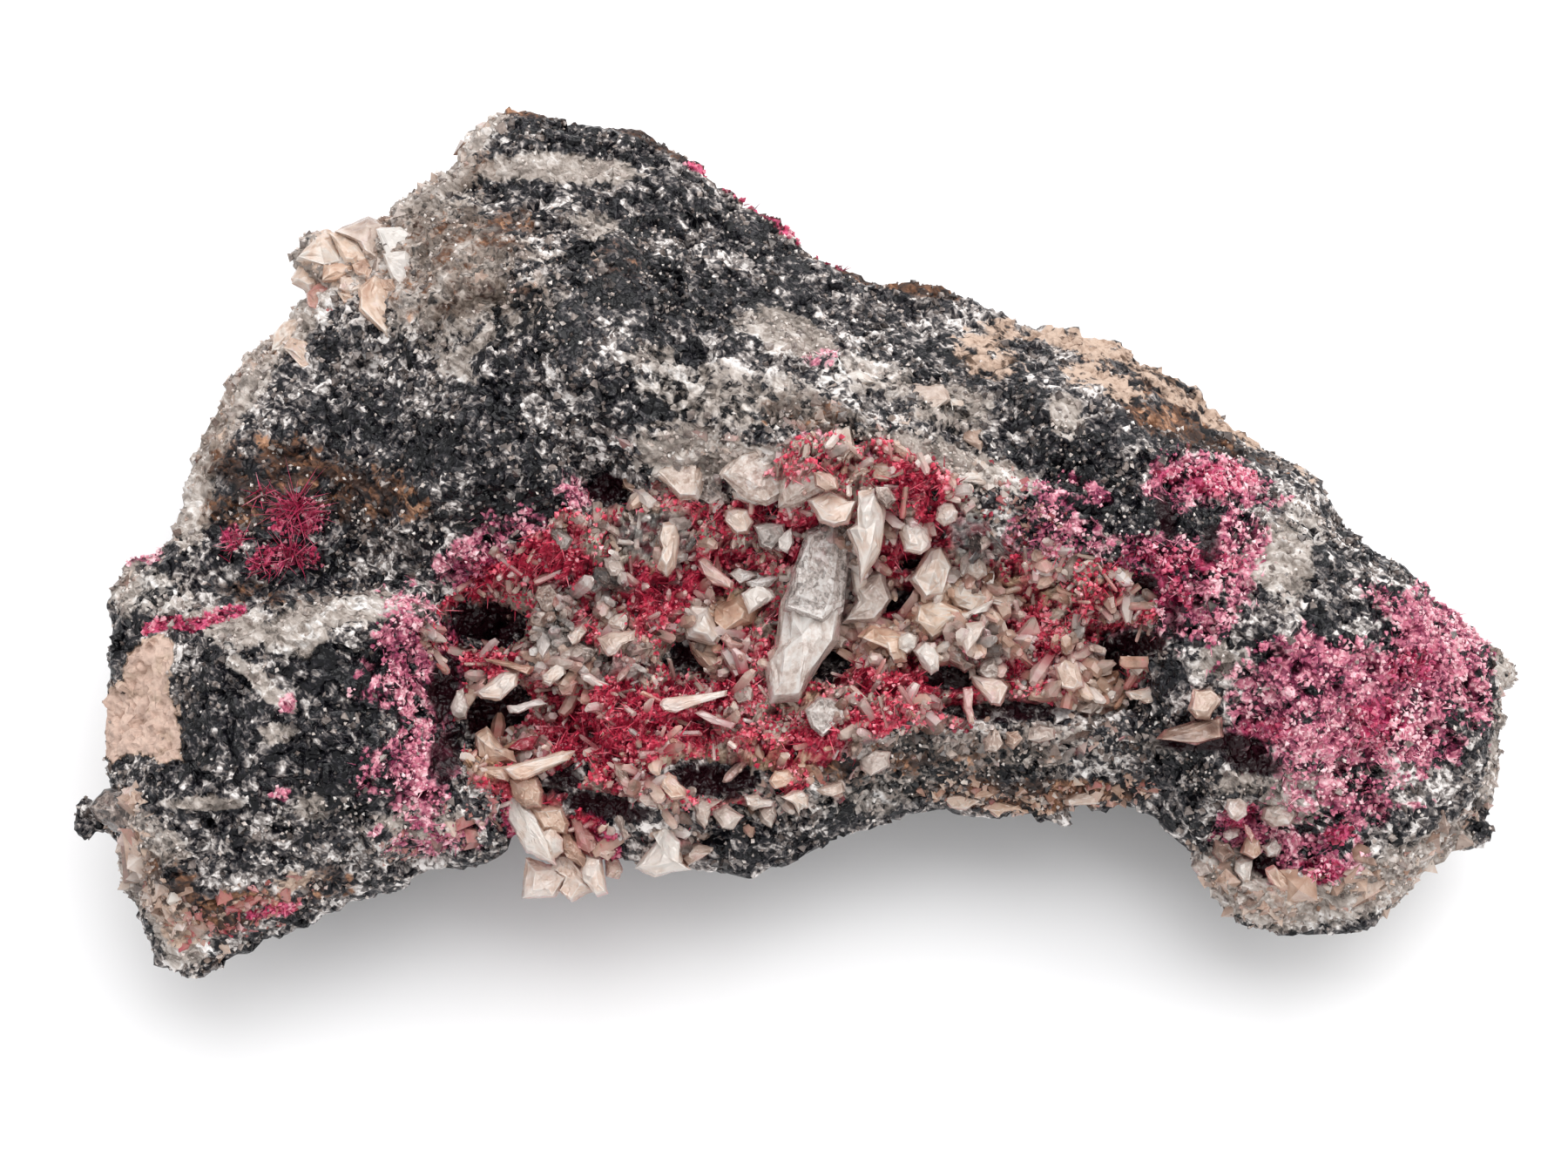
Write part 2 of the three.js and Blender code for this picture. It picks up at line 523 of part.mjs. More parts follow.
const POCKET_CRYSTALS = [
  [[25.2, -18.0, 9.6], [24.4, -19.4, 12.4], 1.5, 1.3],
  [[24.2, -17.0, 10.2], [23.4, -17.6, 12.9], 1.7, 1.4],
  [[26.6, -16.8, 10.6], [26.2, -17.1, 13.4], 1.8, 1.4],
  [[26.6, -19.6, 9.0], [27.6, -20.6, 11.4], 1.2, 1.0],
];
const pocketMat = mat({ dishes: [FRONT_POCKET], thickness: 1.0, cell: 1.2, layer: 23 });
const pocketCrust = grownOn(rock, rockClearance, pocketMat, [
  ...POCKET_CRYSTALS.map(([from, to, width, thickness]) => crystal({ from, to, width, thickness })),
  ...scatter({
    dishes: [FRONT_POCKET], count: 7, spacing: 1.3, lengths: [2.0, 2.9], widths: [0.6, 1.1],
    lean: 50, sides: 6, thin: 0.7, random,
  }),
]);

// ---------- the specimen ----------

const darkRock = new THREE.MeshStandardMaterial({ color: 0x4a4a4e, roughness: 0.6, metalness: 0 });
const druse = new THREE.MeshStandardMaterial({ color: 0xb98f86, roughness: 0.35, metalness: 0 });
const milkyQuartz = new THREE.MeshStandardMaterial({ color: 0xd9cdb8, roughness: 0.25, metalness: 0 });
const erythrite = new THREE.MeshStandardMaterial({ color: 0xa81c4a, roughness: 0.35, metalness: 0 });

const group = new THREE.Group();
group.add(
  meshOf("matrix_rock", rock, darkRock),
  meshOf("long_hollow_crystal_crust", longHollowCrust, druse),
  meshOf("front_quartz_cluster", frontCluster, milkyQuartz),
  meshOf("erythrite_needle_spray", erythriteSpray, erythrite),
  meshOf("front_pocket_crystal_crust", pocketCrust, druse),
);
const box = new THREE.Box3().setFromObject(group, true);
group.position.set(-(box.min.x + box.max.x) / 2, -(box.min.y + box.max.y) / 2, -box.min.z);

export default group;
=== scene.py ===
# %% [markdown]
# # Erythrite specimen
# The specimen is one lump of dark vein rock with a long hollow in its upper face. Quartz
# crystals and crimson erythrite line the hollow, and thinner crusts and stains colour the rest.
# The notebook dresses the solid model: it grows a fine surface over the rock, works out where each mineral
# lies, and then adds the grains, crystals and needles as arrays of small shapes.

# %% Load the solid model
import math

import bmesh
import bpy
import numpy as np
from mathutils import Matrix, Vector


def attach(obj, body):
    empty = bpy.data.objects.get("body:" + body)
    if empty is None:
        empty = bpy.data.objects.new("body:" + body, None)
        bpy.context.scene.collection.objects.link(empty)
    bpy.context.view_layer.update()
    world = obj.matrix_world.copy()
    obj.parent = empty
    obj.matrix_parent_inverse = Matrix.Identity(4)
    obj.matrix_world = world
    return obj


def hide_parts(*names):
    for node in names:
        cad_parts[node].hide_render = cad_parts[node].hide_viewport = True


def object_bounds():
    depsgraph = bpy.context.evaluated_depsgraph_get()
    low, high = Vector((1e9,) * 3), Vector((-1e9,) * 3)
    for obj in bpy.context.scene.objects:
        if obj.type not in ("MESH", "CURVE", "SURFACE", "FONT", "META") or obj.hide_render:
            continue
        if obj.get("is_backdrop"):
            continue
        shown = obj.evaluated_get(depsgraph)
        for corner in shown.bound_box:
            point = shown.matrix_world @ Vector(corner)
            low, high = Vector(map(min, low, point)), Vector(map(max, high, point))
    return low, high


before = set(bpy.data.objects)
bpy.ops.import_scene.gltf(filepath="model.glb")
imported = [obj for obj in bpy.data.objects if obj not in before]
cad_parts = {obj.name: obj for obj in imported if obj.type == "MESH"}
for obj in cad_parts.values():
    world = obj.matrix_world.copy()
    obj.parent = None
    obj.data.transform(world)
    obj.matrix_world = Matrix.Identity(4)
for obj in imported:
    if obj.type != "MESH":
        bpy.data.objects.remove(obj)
cad_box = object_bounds()
MM = 0.001
print("solids:", sorted(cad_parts))
print("box in mm:", np.round(np.array(cad_box) / MM, 1).tolist())

# %% [markdown]
# ## Camera, floor and light
# The specimen lies on a white sheet and is seen from 20 degrees off straight down, through a
# short telephoto lens. A camera can be aimed with a constraint, but working out its place from
# the point it looks at keeps it free of helpers. The light is one broad panel high up, behind
# and a little to the right, which throws soft shadows forward, with a white sky to fill them.

# %% Camera
TARGET = np.array([-0.71, -4.22, 13.0])  # the point at the middle of the picture, in mm
ELEVATION = math.radians(70)
DISTANCE = 170.8
FOCAL_LENGTH = 70

looking = np.array([0, math.cos(ELEVATION), -math.sin(ELEVATION)])
camera_data = bpy.data.cameras.new("camera")
camera_data.lens = FOCAL_LENGTH
camera_data.sensor_width = 36
camera_data.sensor_fit = "HORIZONTAL"
camera_data.clip_start = 0.005
camera = bpy.data.objects.new("camera", camera_data)
camera.location = (TARGET - looking * DISTANCE) * MM
camera.rotation_euler = (math.pi / 2 - ELEVATION, 0, 0)
bpy.context.scene.collection.objects.link(camera)
bpy.context.scene.camera = camera
print("camera at", np.round(np.array(camera.location), 3).tolist())


# %% Lights
MIDDLE = np.array([0, 0, 8])  # the middle of the specimen, in mm


def area_light(name, place, size, watts, colour=(1, 1, 1)):
    """A square lamp at a place in mm, turned to face the middle of the specimen."""
    data = bpy.data.lights.new(name, "AREA")
    data.size = size * MM
    data.energy = watts
    data.color = colour
    lamp = bpy.data.objects.new(name, data)
    lamp.location = [value * MM for value in place]
    towards = MIDDLE - np.array(place)
    turn = math.atan2(-towards[0], towards[1])
    tip = math.acos(-towards[2] / np.linalg.norm(towards))
    lamp.rotation_euler = (tip, 0, turn)
    bpy.context.scene.collection.objects.link(lamp)


area_light("window panel", (50, 150, 370), 400, 1.4)
area_light("side panel", (330, 60, 260), 160, 0.25, (1.0, 0.97, 0.93))
print("lamps:", [lamp.name for lamp in bpy.data.lights])

# %% Sky and floor
sky = bpy.data.worlds.new("white sky")
sky.use_nodes = True
sky.node_tree.nodes["Background"].inputs["Color"].default_value = (1, 1, 1, 1)
sky.node_tree.nodes["Background"].inputs["Strength"].default_value = 0.94
bpy.context.scene.world = sky
bpy.context.scene.view_settings.view_transform = "Standard"

floor_mesh = bpy.data.meshes.new("floor")
floor_mesh.from_pydata([(-2, -2, 0), (2, -2, 0), (2, 2, 0), (-2, 2, 0)], [], [(0, 1, 2, 3)])
floor = bpy.data.objects.new("floor", floor_mesh)
bpy.context.scene.collection.objects.link(floor)
floor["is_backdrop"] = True
white_sheet = bpy.data.materials.new("white sheet")
white_sheet.use_nodes = True
white_sheet.node_tree.nodes["Principled BSDF"].inputs["Base Color"].default_value = (0.86, 0.86, 0.87, 1)
white_sheet.node_tree.nodes["Principled BSDF"].inputs["Roughness"].default_value = 0.6
floor_mesh.materials.append(white_sheet)
print("floor:", white_sheet.name)

# %% [markdown]
# ## Noise as whole arrays
# Rock is uneven at every scale. Blender's textures can push a surface about, but the same
# numbers must also place grains and colour, so the noise is worked out here. There are two
# kinds: smooth noise, and cells, which give the broken flats of crystalline rock.


# %% Smooth noise
def hashed(corners, seed):
    """One fixed random number from 0 to 1 for each whole-number corner: the three numbers are
    multiplied by large primes, added, and stirred by shifts, all in 32 bits."""
    i, j, k = (corners[..., axis].astype(np.int64) for axis in range(3))
    mixed = (i * 73856093 ^ j * 19349663 ^ k * 83492791 ^ seed * 2654435761) & 0xFFFFFFFF
    mixed = ((mixed ^ (mixed >> 15)) * 2246822519) & 0xFFFFFFFF
    mixed = ((mixed ^ (mixed >> 13)) * 3266489917) & 0xFFFFFFFF
    return (mixed ^ (mixed >> 16)) / 4294967295.0


def smooth_noise(points, size, seed):
    """Noise from -1 to 1 with lumps of the given size: the corners of a lattice hold random
    values, and a point blends its eight corners with weights that ease in and out."""
    scaled = points / size
    low = np.floor(scaled)
    share = scaled - low
    share = share * share * (3 - 2 * share)
    total = np.zeros(len(points))
    for corner in np.ndindex(2, 2, 2):
        weight = np.prod(np.where(np.array(corner) == 1, share, 1 - share), axis=1)
        total += weight * hashed(low + np.array(corner), seed)
    return 2 * total - 1


def rough_noise(points, size, seed):
    """Smooth noise with two finer layers added, each half the size and half the height. The sum
    of the three heights, 1 + 1/2 + 1/4, brings it back to -1 to 1."""
    parts = [smooth_noise(points, size / 2**n, seed + n) / 2**n for n in range(3)]
    return sum(parts) / 1.75


# %% Cells and broken flats
def cells(points, size, seed):
    """The nearest of many scattered centres, one in each box of a lattice. Gives the distance to
    it, the offset from it, and three random numbers from 0 to 1 that belong to it."""
    scaled = points / size
    low = np.floor(scaled)
    nearest = np.full(len(points), np.inf)
    offset = np.zeros_like(points)
    home = np.zeros_like(points)
    for step in np.ndindex(3, 3, 3):
        box = low + np.array(step) - 1
        centre = box + np.stack([hashed(box, seed + n) for n in range(3)], axis=1)
        away = scaled - centre
        distance = np.linalg.norm(away, axis=1)
        closer = distance < nearest
        nearest = np.where(closer, distance, nearest)
        offset = np.where(closer[:, None], away, offset)
        home = np.where(closer[:, None], box, home)
    numbers = np.stack([hashed(home, seed + 3 + n) for n in range(3)], axis=1)
    return nearest, offset, numbers


def broken_flats(points, size, seed):
    """Height from about -1 to 1 of broken flats: each cell carries its own sloping plane, so that
    flats meet at small ledges."""
    _, offset, numbers = cells(points, size, seed)
    slopes = 2 * numbers - 1
    return 0.5 * slopes[:, 0] + 1.1 * np.sum(offset * slopes, axis=1)


trial = np.random.default_rng(1).uniform(0, 20, (2000, 3))
print("smooth noise spans", np.round(np.ptp(smooth_noise(trial, 2, 5)), 2))

# %% [markdown]
# ## From arrays to meshes
# Every piece ends as arrays of places and triangles. `foreach_set` copies a whole array into
# a mesh at once, which is far quicker than adding vertices one by one. A piece then gets its
# finish, rides on the one body, and stands for the solid that it covers.


# %% Mesh helper
def make_piece(name, shape, values, material, replaces=()):
    """A flat-shaded mesh object from a shape, which starts with places in mm and triangles of
    their numbers. Each entry of values becomes a named number on every vertex, for the material
    to read."""
    places, triangles = shape[:2]
    mesh = bpy.data.meshes.new(name)
    mesh.vertices.add(len(places))
    mesh.vertices.foreach_set("co", (places * MM).astype(np.float32).ravel())
    mesh.loops.add(3 * len(triangles))
    mesh.loops.foreach_set("vertex_index", triangles.astype(np.int32).ravel())
    mesh.polygons.add(len(triangles))
    mesh.polygons.foreach_set("loop_start", np.arange(0, 3 * len(triangles), 3, dtype=np.int32))
    mesh.polygons.foreach_set("use_smooth", np.zeros(len(triangles), dtype=bool))
    mesh.update(calc_edges=True)
    for key, numbers in values.items():
        layer = mesh.attributes.new(key, "FLOAT", "POINT")
        layer.data.foreach_set("value", numbers.astype(np.float32))
    mesh.materials.append(material)
    piece = bpy.data.objects.new(name, mesh)
    bpy.context.scene.collection.objects.link(piece)
    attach(piece, "root")
    if replaces:
        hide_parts(*replaces)
    print(f"{name}: {len(triangles)} triangles")


# %% Reading a mesh and passing it through modifiers
def arrays_of(mesh):
    """A mesh's vertex places and normals, in mm, and its faces cut into triangles."""
    places = np.empty(3 * len(mesh.vertices), dtype=np.float32)
    mesh.vertices.foreach_get("co", places)
    normals = np.empty(3 * len(mesh.vertices), dtype=np.float32)
    mesh.vertex_normals.foreach_get("vector", normals)
    mesh.calc_loop_triangles()
    triangles = np.empty(3 * len(mesh.loop_triangles), dtype=np.int32)
    mesh.loop_triangles.foreach_get("vertices", triangles)
    places = places.reshape(-1, 3).astype(float) / MM
    return places, normals.reshape(-1, 3).astype(float), triangles.reshape(-1, 3)


def with_modifiers(mesh, *settings):
    """A new mesh made by passing a mesh through modifiers, each given as (type, values)."""
    worker = bpy.data.objects.new("worker", mesh)
    bpy.context.scene.collection.objects.link(worker)
    if "weights" in mesh.attributes:
        group = worker.vertex_groups.new(name="weights")
        marked = np.empty(len(mesh.vertices), dtype=np.float32)
        mesh.attributes["weights"].data.foreach_get("value", marked)
        group.add(np.flatnonzero(marked > 0.5).tolist(), 1.0, "REPLACE")
    for kind, values in settings:
        modifier = worker.modifiers.new(kind.lower(), kind)
        for key, value in values.items():
            setattr(modifier, key, value)
    evaluated = worker.evaluated_get(bpy.context.evaluated_depsgraph_get())
    result = bpy.data.meshes.new_from_object(evaluated)
    bpy.data.objects.remove(worker)
    return result


# %% [markdown]
# ## The rock's fine surface
# The solid rock has a few thousand broad triangles. Its real surface is sugary: grains a third
# of a millimetre across, on broken flats a few millimetres wide. Subdividing would keep the
# long thin triangles, so a voxel remesh lays even faces over the solid first. The underside
# needs less detail, and is thinned. Then every vertex moves along its normal by noise at
# several scales.

# %% Even faces over the solid
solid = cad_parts["matrix_rock"].data.copy()
joiner = bmesh.new()
joiner.from_mesh(solid)
bmesh.ops.remove_doubles(joiner, verts=joiner.verts, dist=1e-7)
joiner.to_mesh(solid)
joiner.free()

VOXEL = 0.255
UNDERSIDE_TOP = 11  # faces that look down are thinned below this height, in mm
even = with_modifiers(
    solid,
    ("REMESH", {"mode": "VOXEL", "voxel_size": VOXEL * MM}),
    ("SMOOTH", {"factor": 0.5, "iterations": 3}),
)
places, normals, _ = arrays_of(even)
below = (normals[:, 2] < -0.15) & (places[:, 2] < UNDERSIDE_TOP)
marks = even.attributes.new("weights", "FLOAT", "POINT")
marks.data.foreach_set("value", below.astype(np.float32))
thinned = with_modifiers(even, ("DECIMATE", {"ratio": 0.58, "vertex_group": "weights"}))
places, normals, rock_triangles = arrays_of(thinned)
print("rock before noise:", len(places), "vertices,", len(rock_triangles), "triangles")

# %% Broken flats, ledges and grains
HIGHEST = 21.2  # what rises past this height, in mm, is pressed down by 0.7 of the excess
broad = 0.34 * smooth_noise(places, 3.4, 1) + 0.34 * broken_flats(places, 2.6, 10)
ledges = 0.20 * broken_flats(places * [1, 1.6, 1.6], 1.15, 20)
sugar = 0.13 * broken_flats(places, 0.52, 30) + 0.05 * smooth_noise(places, 0.3, 40)
rise = broad + ledges + sugar
rock_places = places + normals * rise[:, None]
rock_places[:, 2] = np.maximum(rock_places[:, 2], 0.0)
rock_places[:, 2] -= 0.7 * np.maximum(rock_places[:, 2] - HIGHEST, 0)
print("relief from", rise.min().round(2), "to", rise.max().round(2), "mm")

# %% [markdown]
# ## Where each mineral lies
# Quartz, clay, rust and erythrite lie in patches and veins that cut through the rock. They could
# be painted by hand or in an image. Here each patch is an ellipse, a line or an outline in plan,
# and the plan leans back with height, as veins do that dip steeply. Noise frays every edge, and
# the strengths are kept on the vertices for the material.

# %% The plan and its ellipses
VEIN_LEVEL = 15.0  # the plan holds at this height, in mm
VEIN_LEAN = 1 / math.tan(ELEVATION)


def plan_of(points):
    """Places in the veins' plan: x stays, and y shifts back by the lean times the height."""
    return points[:, 0], points[:, 1] + (points[:, 2] - VEIN_LEVEL) * VEIN_LEAN


def blots(plan, forms, fray=0.0):
    """The largest strength of the ellipses (x, y, half length, half width, turn, strength). Each
    fades from full at its middle to nothing a little past its edge."""
    best = np.zeros(len(plan[0]))
    for x, y, half_length, half_width, turn, strength in forms:
        angle = math.radians(turn)
        dx, dy = plan[0] - x, plan[1] - y
        along = (dx * math.cos(angle) + dy * math.sin(angle)) / half_length
        across = (dy * math.cos(angle) - dx * math.sin(angle)) / half_width
        reach = np.hypot(along, across) + fray
        best = np.maximum(best, strength * np.clip((1.35 - reach) / 0.6, 0, 1))
    return best


# %% Bands and outlines
def distance_to(plan, line):
    """The distance from each place to a line of straight stretches: for each stretch, the place
    is dropped on it, and the nearest foot counts."""
    best = np.full(len(plan[0]), np.inf)
    for (ax, ay), (bx, by) in zip(line[:-1], line[1:]):
        ex, ey = bx - ax, by - ay
        share = np.clip(((plan[0] - ax) * ex + (plan[1] - ay) * ey) / (ex * ex + ey * ey), 0, 1)
        best = np.minimum(best, np.hypot(plan[0] - ax - share * ex, plan[1] - ay - share * ey))
    return best


def bands(plan, lines, fray):
    """The largest strength of bands along lines, each given as (line, half width, strength)."""
    best = np.zeros(len(plan[0]))
    for line, half_width, strength in lines:
        reach = distance_to(plan, line) / half_width + fray
        best = np.maximum(best, strength * np.clip((1.5 - reach) / 0.8, 0, 1))
    return best


def inside(plan, outline):
    """1 inside a closed outline and 0 outside: a place is inside when a ray from it crosses the
    outline an odd number of times."""
    odd = np.zeros(len(plan[0]), dtype=bool)
    for (ax, ay), (bx, by) in zip(outline, outline[1:] + outline[:1]):
        straddles = (ay > plan[1]) != (by > plan[1])
        crossing = ax + (plan[1] - ay) * (bx - ax) / (by - ay if by != ay else 1)
        odd ^= straddles & (plan[0] < crossing)
    return odd.astype(float)


# %% Pale quartz
PALE_BLOTS = [
    (-20.5, 14.6, 6.5, 4.2, -25, 0.62), (-28, 14.9, 2.4, 2.4, 0, 1.2), (-24.2, 17.6, 3, 1.3, 35, 0.75),
    (-20.6, 20.6, 2.4, 1.6, 50, 0.75), (-13.8, 21, 4.8, 0.9, -2, 0.95), (-15.5, 15.2, 2.6, 0.8, -20, 0.45),
    (-11.2, 17, 1.3, 1, 0, 0.6), (-19, 8.2, 1.2, 0.7, -30, 1), (-0.6, 10.2, 2.4, 1.3, -20, 0.95),
    (-8, 8.4, 1.3, 0.8, 0, 0.5), (4.2, 7.6, 2.6, 1.2, -20, 0.5), (-6.2, 2.8, 2.2, 1.8, 0, 0.85),
    (-2.6, 1.9, 3.4, 1.4, -8, 1.1), (1.2, 4.8, 2, 0.9, 0, 0.5), (7, 2.4, 4.8, 1.2, -12, 1),
    (-3, 6.2, 5, 1.8, -12, 0.42), (8.8, 5.6, 2.2, 1.4, -20, 0.55), (14.7, 5.2, 0.9, 1.2, 0, 1),
    (11.6, 1.4, 1.6, 0.8, -20, 0.8), (26, -3.5, 1.5, 2.2, 0, 0.8), (28.2, -1, 1.6, 1.4, 0, 0.4),
    (22.8, -9.2, 1.4, 1.2, 0, 0.7), (27.6, -17, 2.2, 1.4, 20, 0.75), (24, -16.4, 2, 1, 0, 0.5),
    (-30.2, -7.3, 1.5, 1.1, 0, 0.9), (-27.4, -7.4, 1.7, 1.2, 0, 0.85), (-24, -6.2, 4.4, 0.8, 3, 0.65),
    (-32.8, -6.7, 1, 0.5, 0, 1), (-37.8, -4.4, 1.1, 1.8, 0, 0.75), (-34.2, -0.4, 0.9, 2.4, 15, 0.7),
    (-31.6, -17.3, 2, 0.35, 0, 0.9), (-34.8, -19.6, 2.2, 1.4, -30, 0.5), (-26.3, -17.6, 1, 0.7, 0, 0.5),
    (-27.8, -13.2, 0.9, 0.6, 0, 0.6), (-20.5, -18.6, 2.4, 1, 8, 0.55), (-35.5, -5.2, 2.2, 1.2, 0, 0.4),
    (13, -5, 2.6, 3.2, 0, 0.55), (12, -14.2, 8, 1.6, 0, 0.34), (2, -17, 8, 1.6, 4, 0.3),
]
PALE_BANDS = [
    ([(-18.6, 24.9), (-21.2, 22.2), (-24, 19.6), (-27, 17.2)], 1.4, 1.1),
    ([(-28.6, 12.6), (-31, 10), (-33, 6.6), (-34.4, 3), (-35, 0)], 1.6, 1.1),
    ([(-35, -1.2), (-37, -2.6), (-38.6, -4.5)], 0.7, 0.8),
    ([(-17, 10), (-18, 9.2), (-19.4, 8.2)], 0.35, 1.2),
    ([(-30.4, -9.2), (-29.2, -9.9), (-28.3, -11), (-27.2, -11.6)], 0.36, 1.1),
    ([(39.8, -8), (39.8, -13), (38.5, -17)], 0.9, 0.6),
    ([(36, -20.2), (32, -22.4), (27, -23.6), (23.5, -22)], 1.5, 0.9),
    ([(-36.6, -21), (-34.6, -23.6), (-33.4, -25.6)], 1.3, 0.8),
]
print("pale quartz:", len(PALE_BLOTS), "patches and", len(PALE_BANDS), "bands")

# %% Clay, rust and erythrite
CLAY_OUTLINE = [
    (-39.6, -14.8), (-39.2, -12), (-37.4, -10.2), (-36.7, -8.6), (-35.2, -7.5), (-34.3, -8.4),
    (-34.4, -10.6), (-33.8, -12.2), (-33.5, -14.8), (-34.6, -15.2), (-36.4, -14.7), (-37.6, -15.2),
]
CLAY_BLOTS = [
    (10.4, 9, 2.1, 1.3, -20, 0.9), (16.5, 10.2, 3.2, 1.1, -12, 1), (17.4, 7.2, 2.4, 1.1, -20, 0.8),
    (21.5, 7.6, 2.6, 1.4, -35, 0.9), (24.8, 4.9, 3.5, 0.8, -25, 0.95), (12.4, 11, 1.8, 0.8, 0, 0.7),
    (28.6, 3, 1.8, 0.7, -50, 0.7), (-27.2, 15, 2.4, 2.4, 0, 0.45), (-33, 6, 1.4, 3, 25, 0.4),
    (-33.8, -24.4, 1.4, 1.2, 0, 0.75), (-36.2, -20.4, 0.9, 1.8, 10, 0.6), (-29.8, -23.4, 1.6, 0.5, 10, 0.7),
    (-27.4, -22, 1.4, 0.7, 20, 0.8),
]
RUST_BLOTS = [
    (-20.5, 14.6, 5.6, 3.4, -20, 0.4), (-33.2, 5.2, 1.5, 4.6, 22, 0.42), (-31, 10.4, 1.4, 1.6, 0, 0.36),
    (5, -15.2, 9, 1.5, 4, 0.34), (-17.6, 16.4, 3.4, 1.8, 0, 0.6), (-29.5, 2, 4.4, 2.2, 0, 0.7),
    (-24, 0.6, 3.4, 1.6, -10, 0.7), (-31.2, -0.4, 2.2, 1.2, 0, 0.6), (-19.2, 11.5, 1.6, 0.6, 0, 0.7),
    (-16, 12.3, 2, 1, 0, 0.5), (20, 6.4, 4.6, 2, -25, 0.7), (14, -6.2, 2, 1.4, 0, 0.45),
    (-30.5, -23.6, 3.2, 1.1, 15, 1), (-33.8, -22.4, 2.2, 1.6, -50, 0.8), (-25.8, -22.2, 1.6, 1, 0, 0.7),
    (-30, -5.2, 3, 0.7, -5, 0.5), (-25.2, 13.6, 0.8, 1.4, 30, 0.7), (-9.8, 14.6, 1.6, 1.6, 0, 0.3),
    (0.6, 5, 2.6, 1.2, 0, 0.45), (12.6, -17.2, 5.6, 0.9, 0, 1), (3, -15.2, 6, 0.8, 4, 0.6),
    (-18.8, 21, 1.2, 1.2, 0, 0.5), (22, 4.2, 5, 0.8, -20, 0.8),
]
RUST_BANDS = [
    ([(-17.4, 25.2), (-12, 24.6), (-8.4, 23.2), (-5.6, 21.4)], 0.4, 0.7),
    ([(-5.3, 21.5), (-1.7, 18.5), (1.3, 15.9), (4.3, 14.2), (9, 13.2)], 0.5, 1),
    ([(-27.2, 2.5), (-25, 1.6), (-23.2, 0.8)], 0.4, 1),
]
ROSE_BLOTS = [
    (22.6, 1.2, 3.4, 1.5, -8, 0.66), (19.5, -3, 2.4, 1.2, 0, 0.6), (21.3, -6, 2.3, 2.1, -10, 0.66),
    (16, -5, 2.4, 3.2, 10, 0.5), (13.4, -2, 2.2, 3.2, 0, 0.46), (24.2, -2, 1.2, 1.6, 0, 0.7),
    (23.6, -4.6, 1.2, 1.8, 0, 0.7), (30, -9.8, 5.6, 1.8, -4, 1), (35.2, -8.4, 3, 3, -40, 1),
    (28.5, -12.6, 4.2, 2.4, 0, 0.95), (32.6, -13.2, 3.6, 2.6, 0, 0.9), (36.8, -11, 2, 2.4, 0, 0.65),
    (29.6, -16.4, 3, 2, 0, 0.65), (25.6, -13.2, 1.8, 1.6, 0, 0.75), (28.3, -20.6, 2.2, 1.6, 0, 0.75),
    (24.6, -18.8, 1.6, 1.2, 0, 0.7), (32.5, -5.9, 2, 1, -20, 0.5), (24, -9.8, 2, 0.9, 0, 0.5),
    (-20.8, -9.5, 1.5, 4.6, 4, 0.7), (-20.6, -15.6, 1.4, 3.4, 5, 0.75), (-22.6, -10.6, 1.3, 1.2, 0, 0.55),
    (-22, -15.8, 1.4, 1.6, 0, 0.5), (-17.6, -3.4, 3, 1.2, 20, 0.8), (-14.5, -2, 2.6, 1.6, -20, 0.6),
    (-37, -3, 1.2, 0.5, 0, 1), (-27.3, -11.5, 0.5, 0.5, 0, 0.9), (-27.7, -16.8, 0.4, 0.4, 0, 1),
    (-22.7, -19, 0.4, 0.4, 0, 1), (-19.6, -19.4, 2.8, 1, 8, 0.6), (-12, 0.6, 1.2, 1, 0, 0.6),
    (1.2, 8.6, 0.8, 0.6, 0, 0.5), (0.6, 3.6, 0.7, 0.7, 0, 0.8), (4.6, 3, 1, 0.5, 0, 0.7),
    (15.1, 1.4, 0.4, 0.4, 0, 1.1), (16, 1, 0.3, 0.3, 0, 1.1), (16.6, 0.3, 0.4, 0.4, 0, 1.1),
    (14.6, -0.2, 0.4, 0.3, 0, 1),
]
CRIMSON_BLOTS = [
    (22.8, 1.3, 1.5, 0.9, 0, 1), (20.6, -3.3, 2.6, 0.7, -5, 0.9), (19.4, -5.2, 1.8, 1.4, 0, 0.85),
    (33.4, -9.4, 1.6, 0.9, 0, 0.75), (31.6, -12.6, 1.4, 1.2, 0, 0.75), (28.8, -21.4, 1, 0.7, 0, 0.95),
    (24.4, -18.2, 0.9, 0.7, 0, 1), (25.4, -13.2, 1, 0.7, 0, 0.7), (-28, -0.6, 1.5, 1.2, 0, 0.5),
    (-28.3, -3, 1.6, 0.6, -8, 0.7), (-31.5, -1.9, 0.6, 0.8, 0, 0.7), (-29.7, -3.4, 0.9, 0.4, 0, 0.7),
    (-19.2, -10.2, 0.8, 3.5, 0, 0.6), (-28.6, -23.7, 1.2, 0.4, 10, 0.9), (-16.4, -3.6, 1.8, 0.7, 0, 0.6),
    (24.6, 1.8, 1, 0.5, 0, 0.6), (20.6, 1.6, 1, 0.5, 0, 0.6), (29.6, -19.2, 0.8, 0.6, 0, 0.7),
    (-10.9, -19.4, 0.8, 1.5, 20, 0.9), (-15.6, -18.8, 0.5, 1.2, 10, 0.8),
]
CRIMSON_BANDS = [
    ([(-35.9, -7.3), (-34.6, -6.9), (-33.2, -7.2), (-31.9, -6.6), (-30.7, -6.3)], 0.3, 1.2),
    ([(-6.2, 21.5), (-4.6, 20.6), (-2.6, 18.9), (0, 16.6), (2.6, 14.8)], 0.2, 0.75),
]
print("rose patches:", len(ROSE_BLOTS), "crimson patches:", len(CRIMSON_BLOTS))
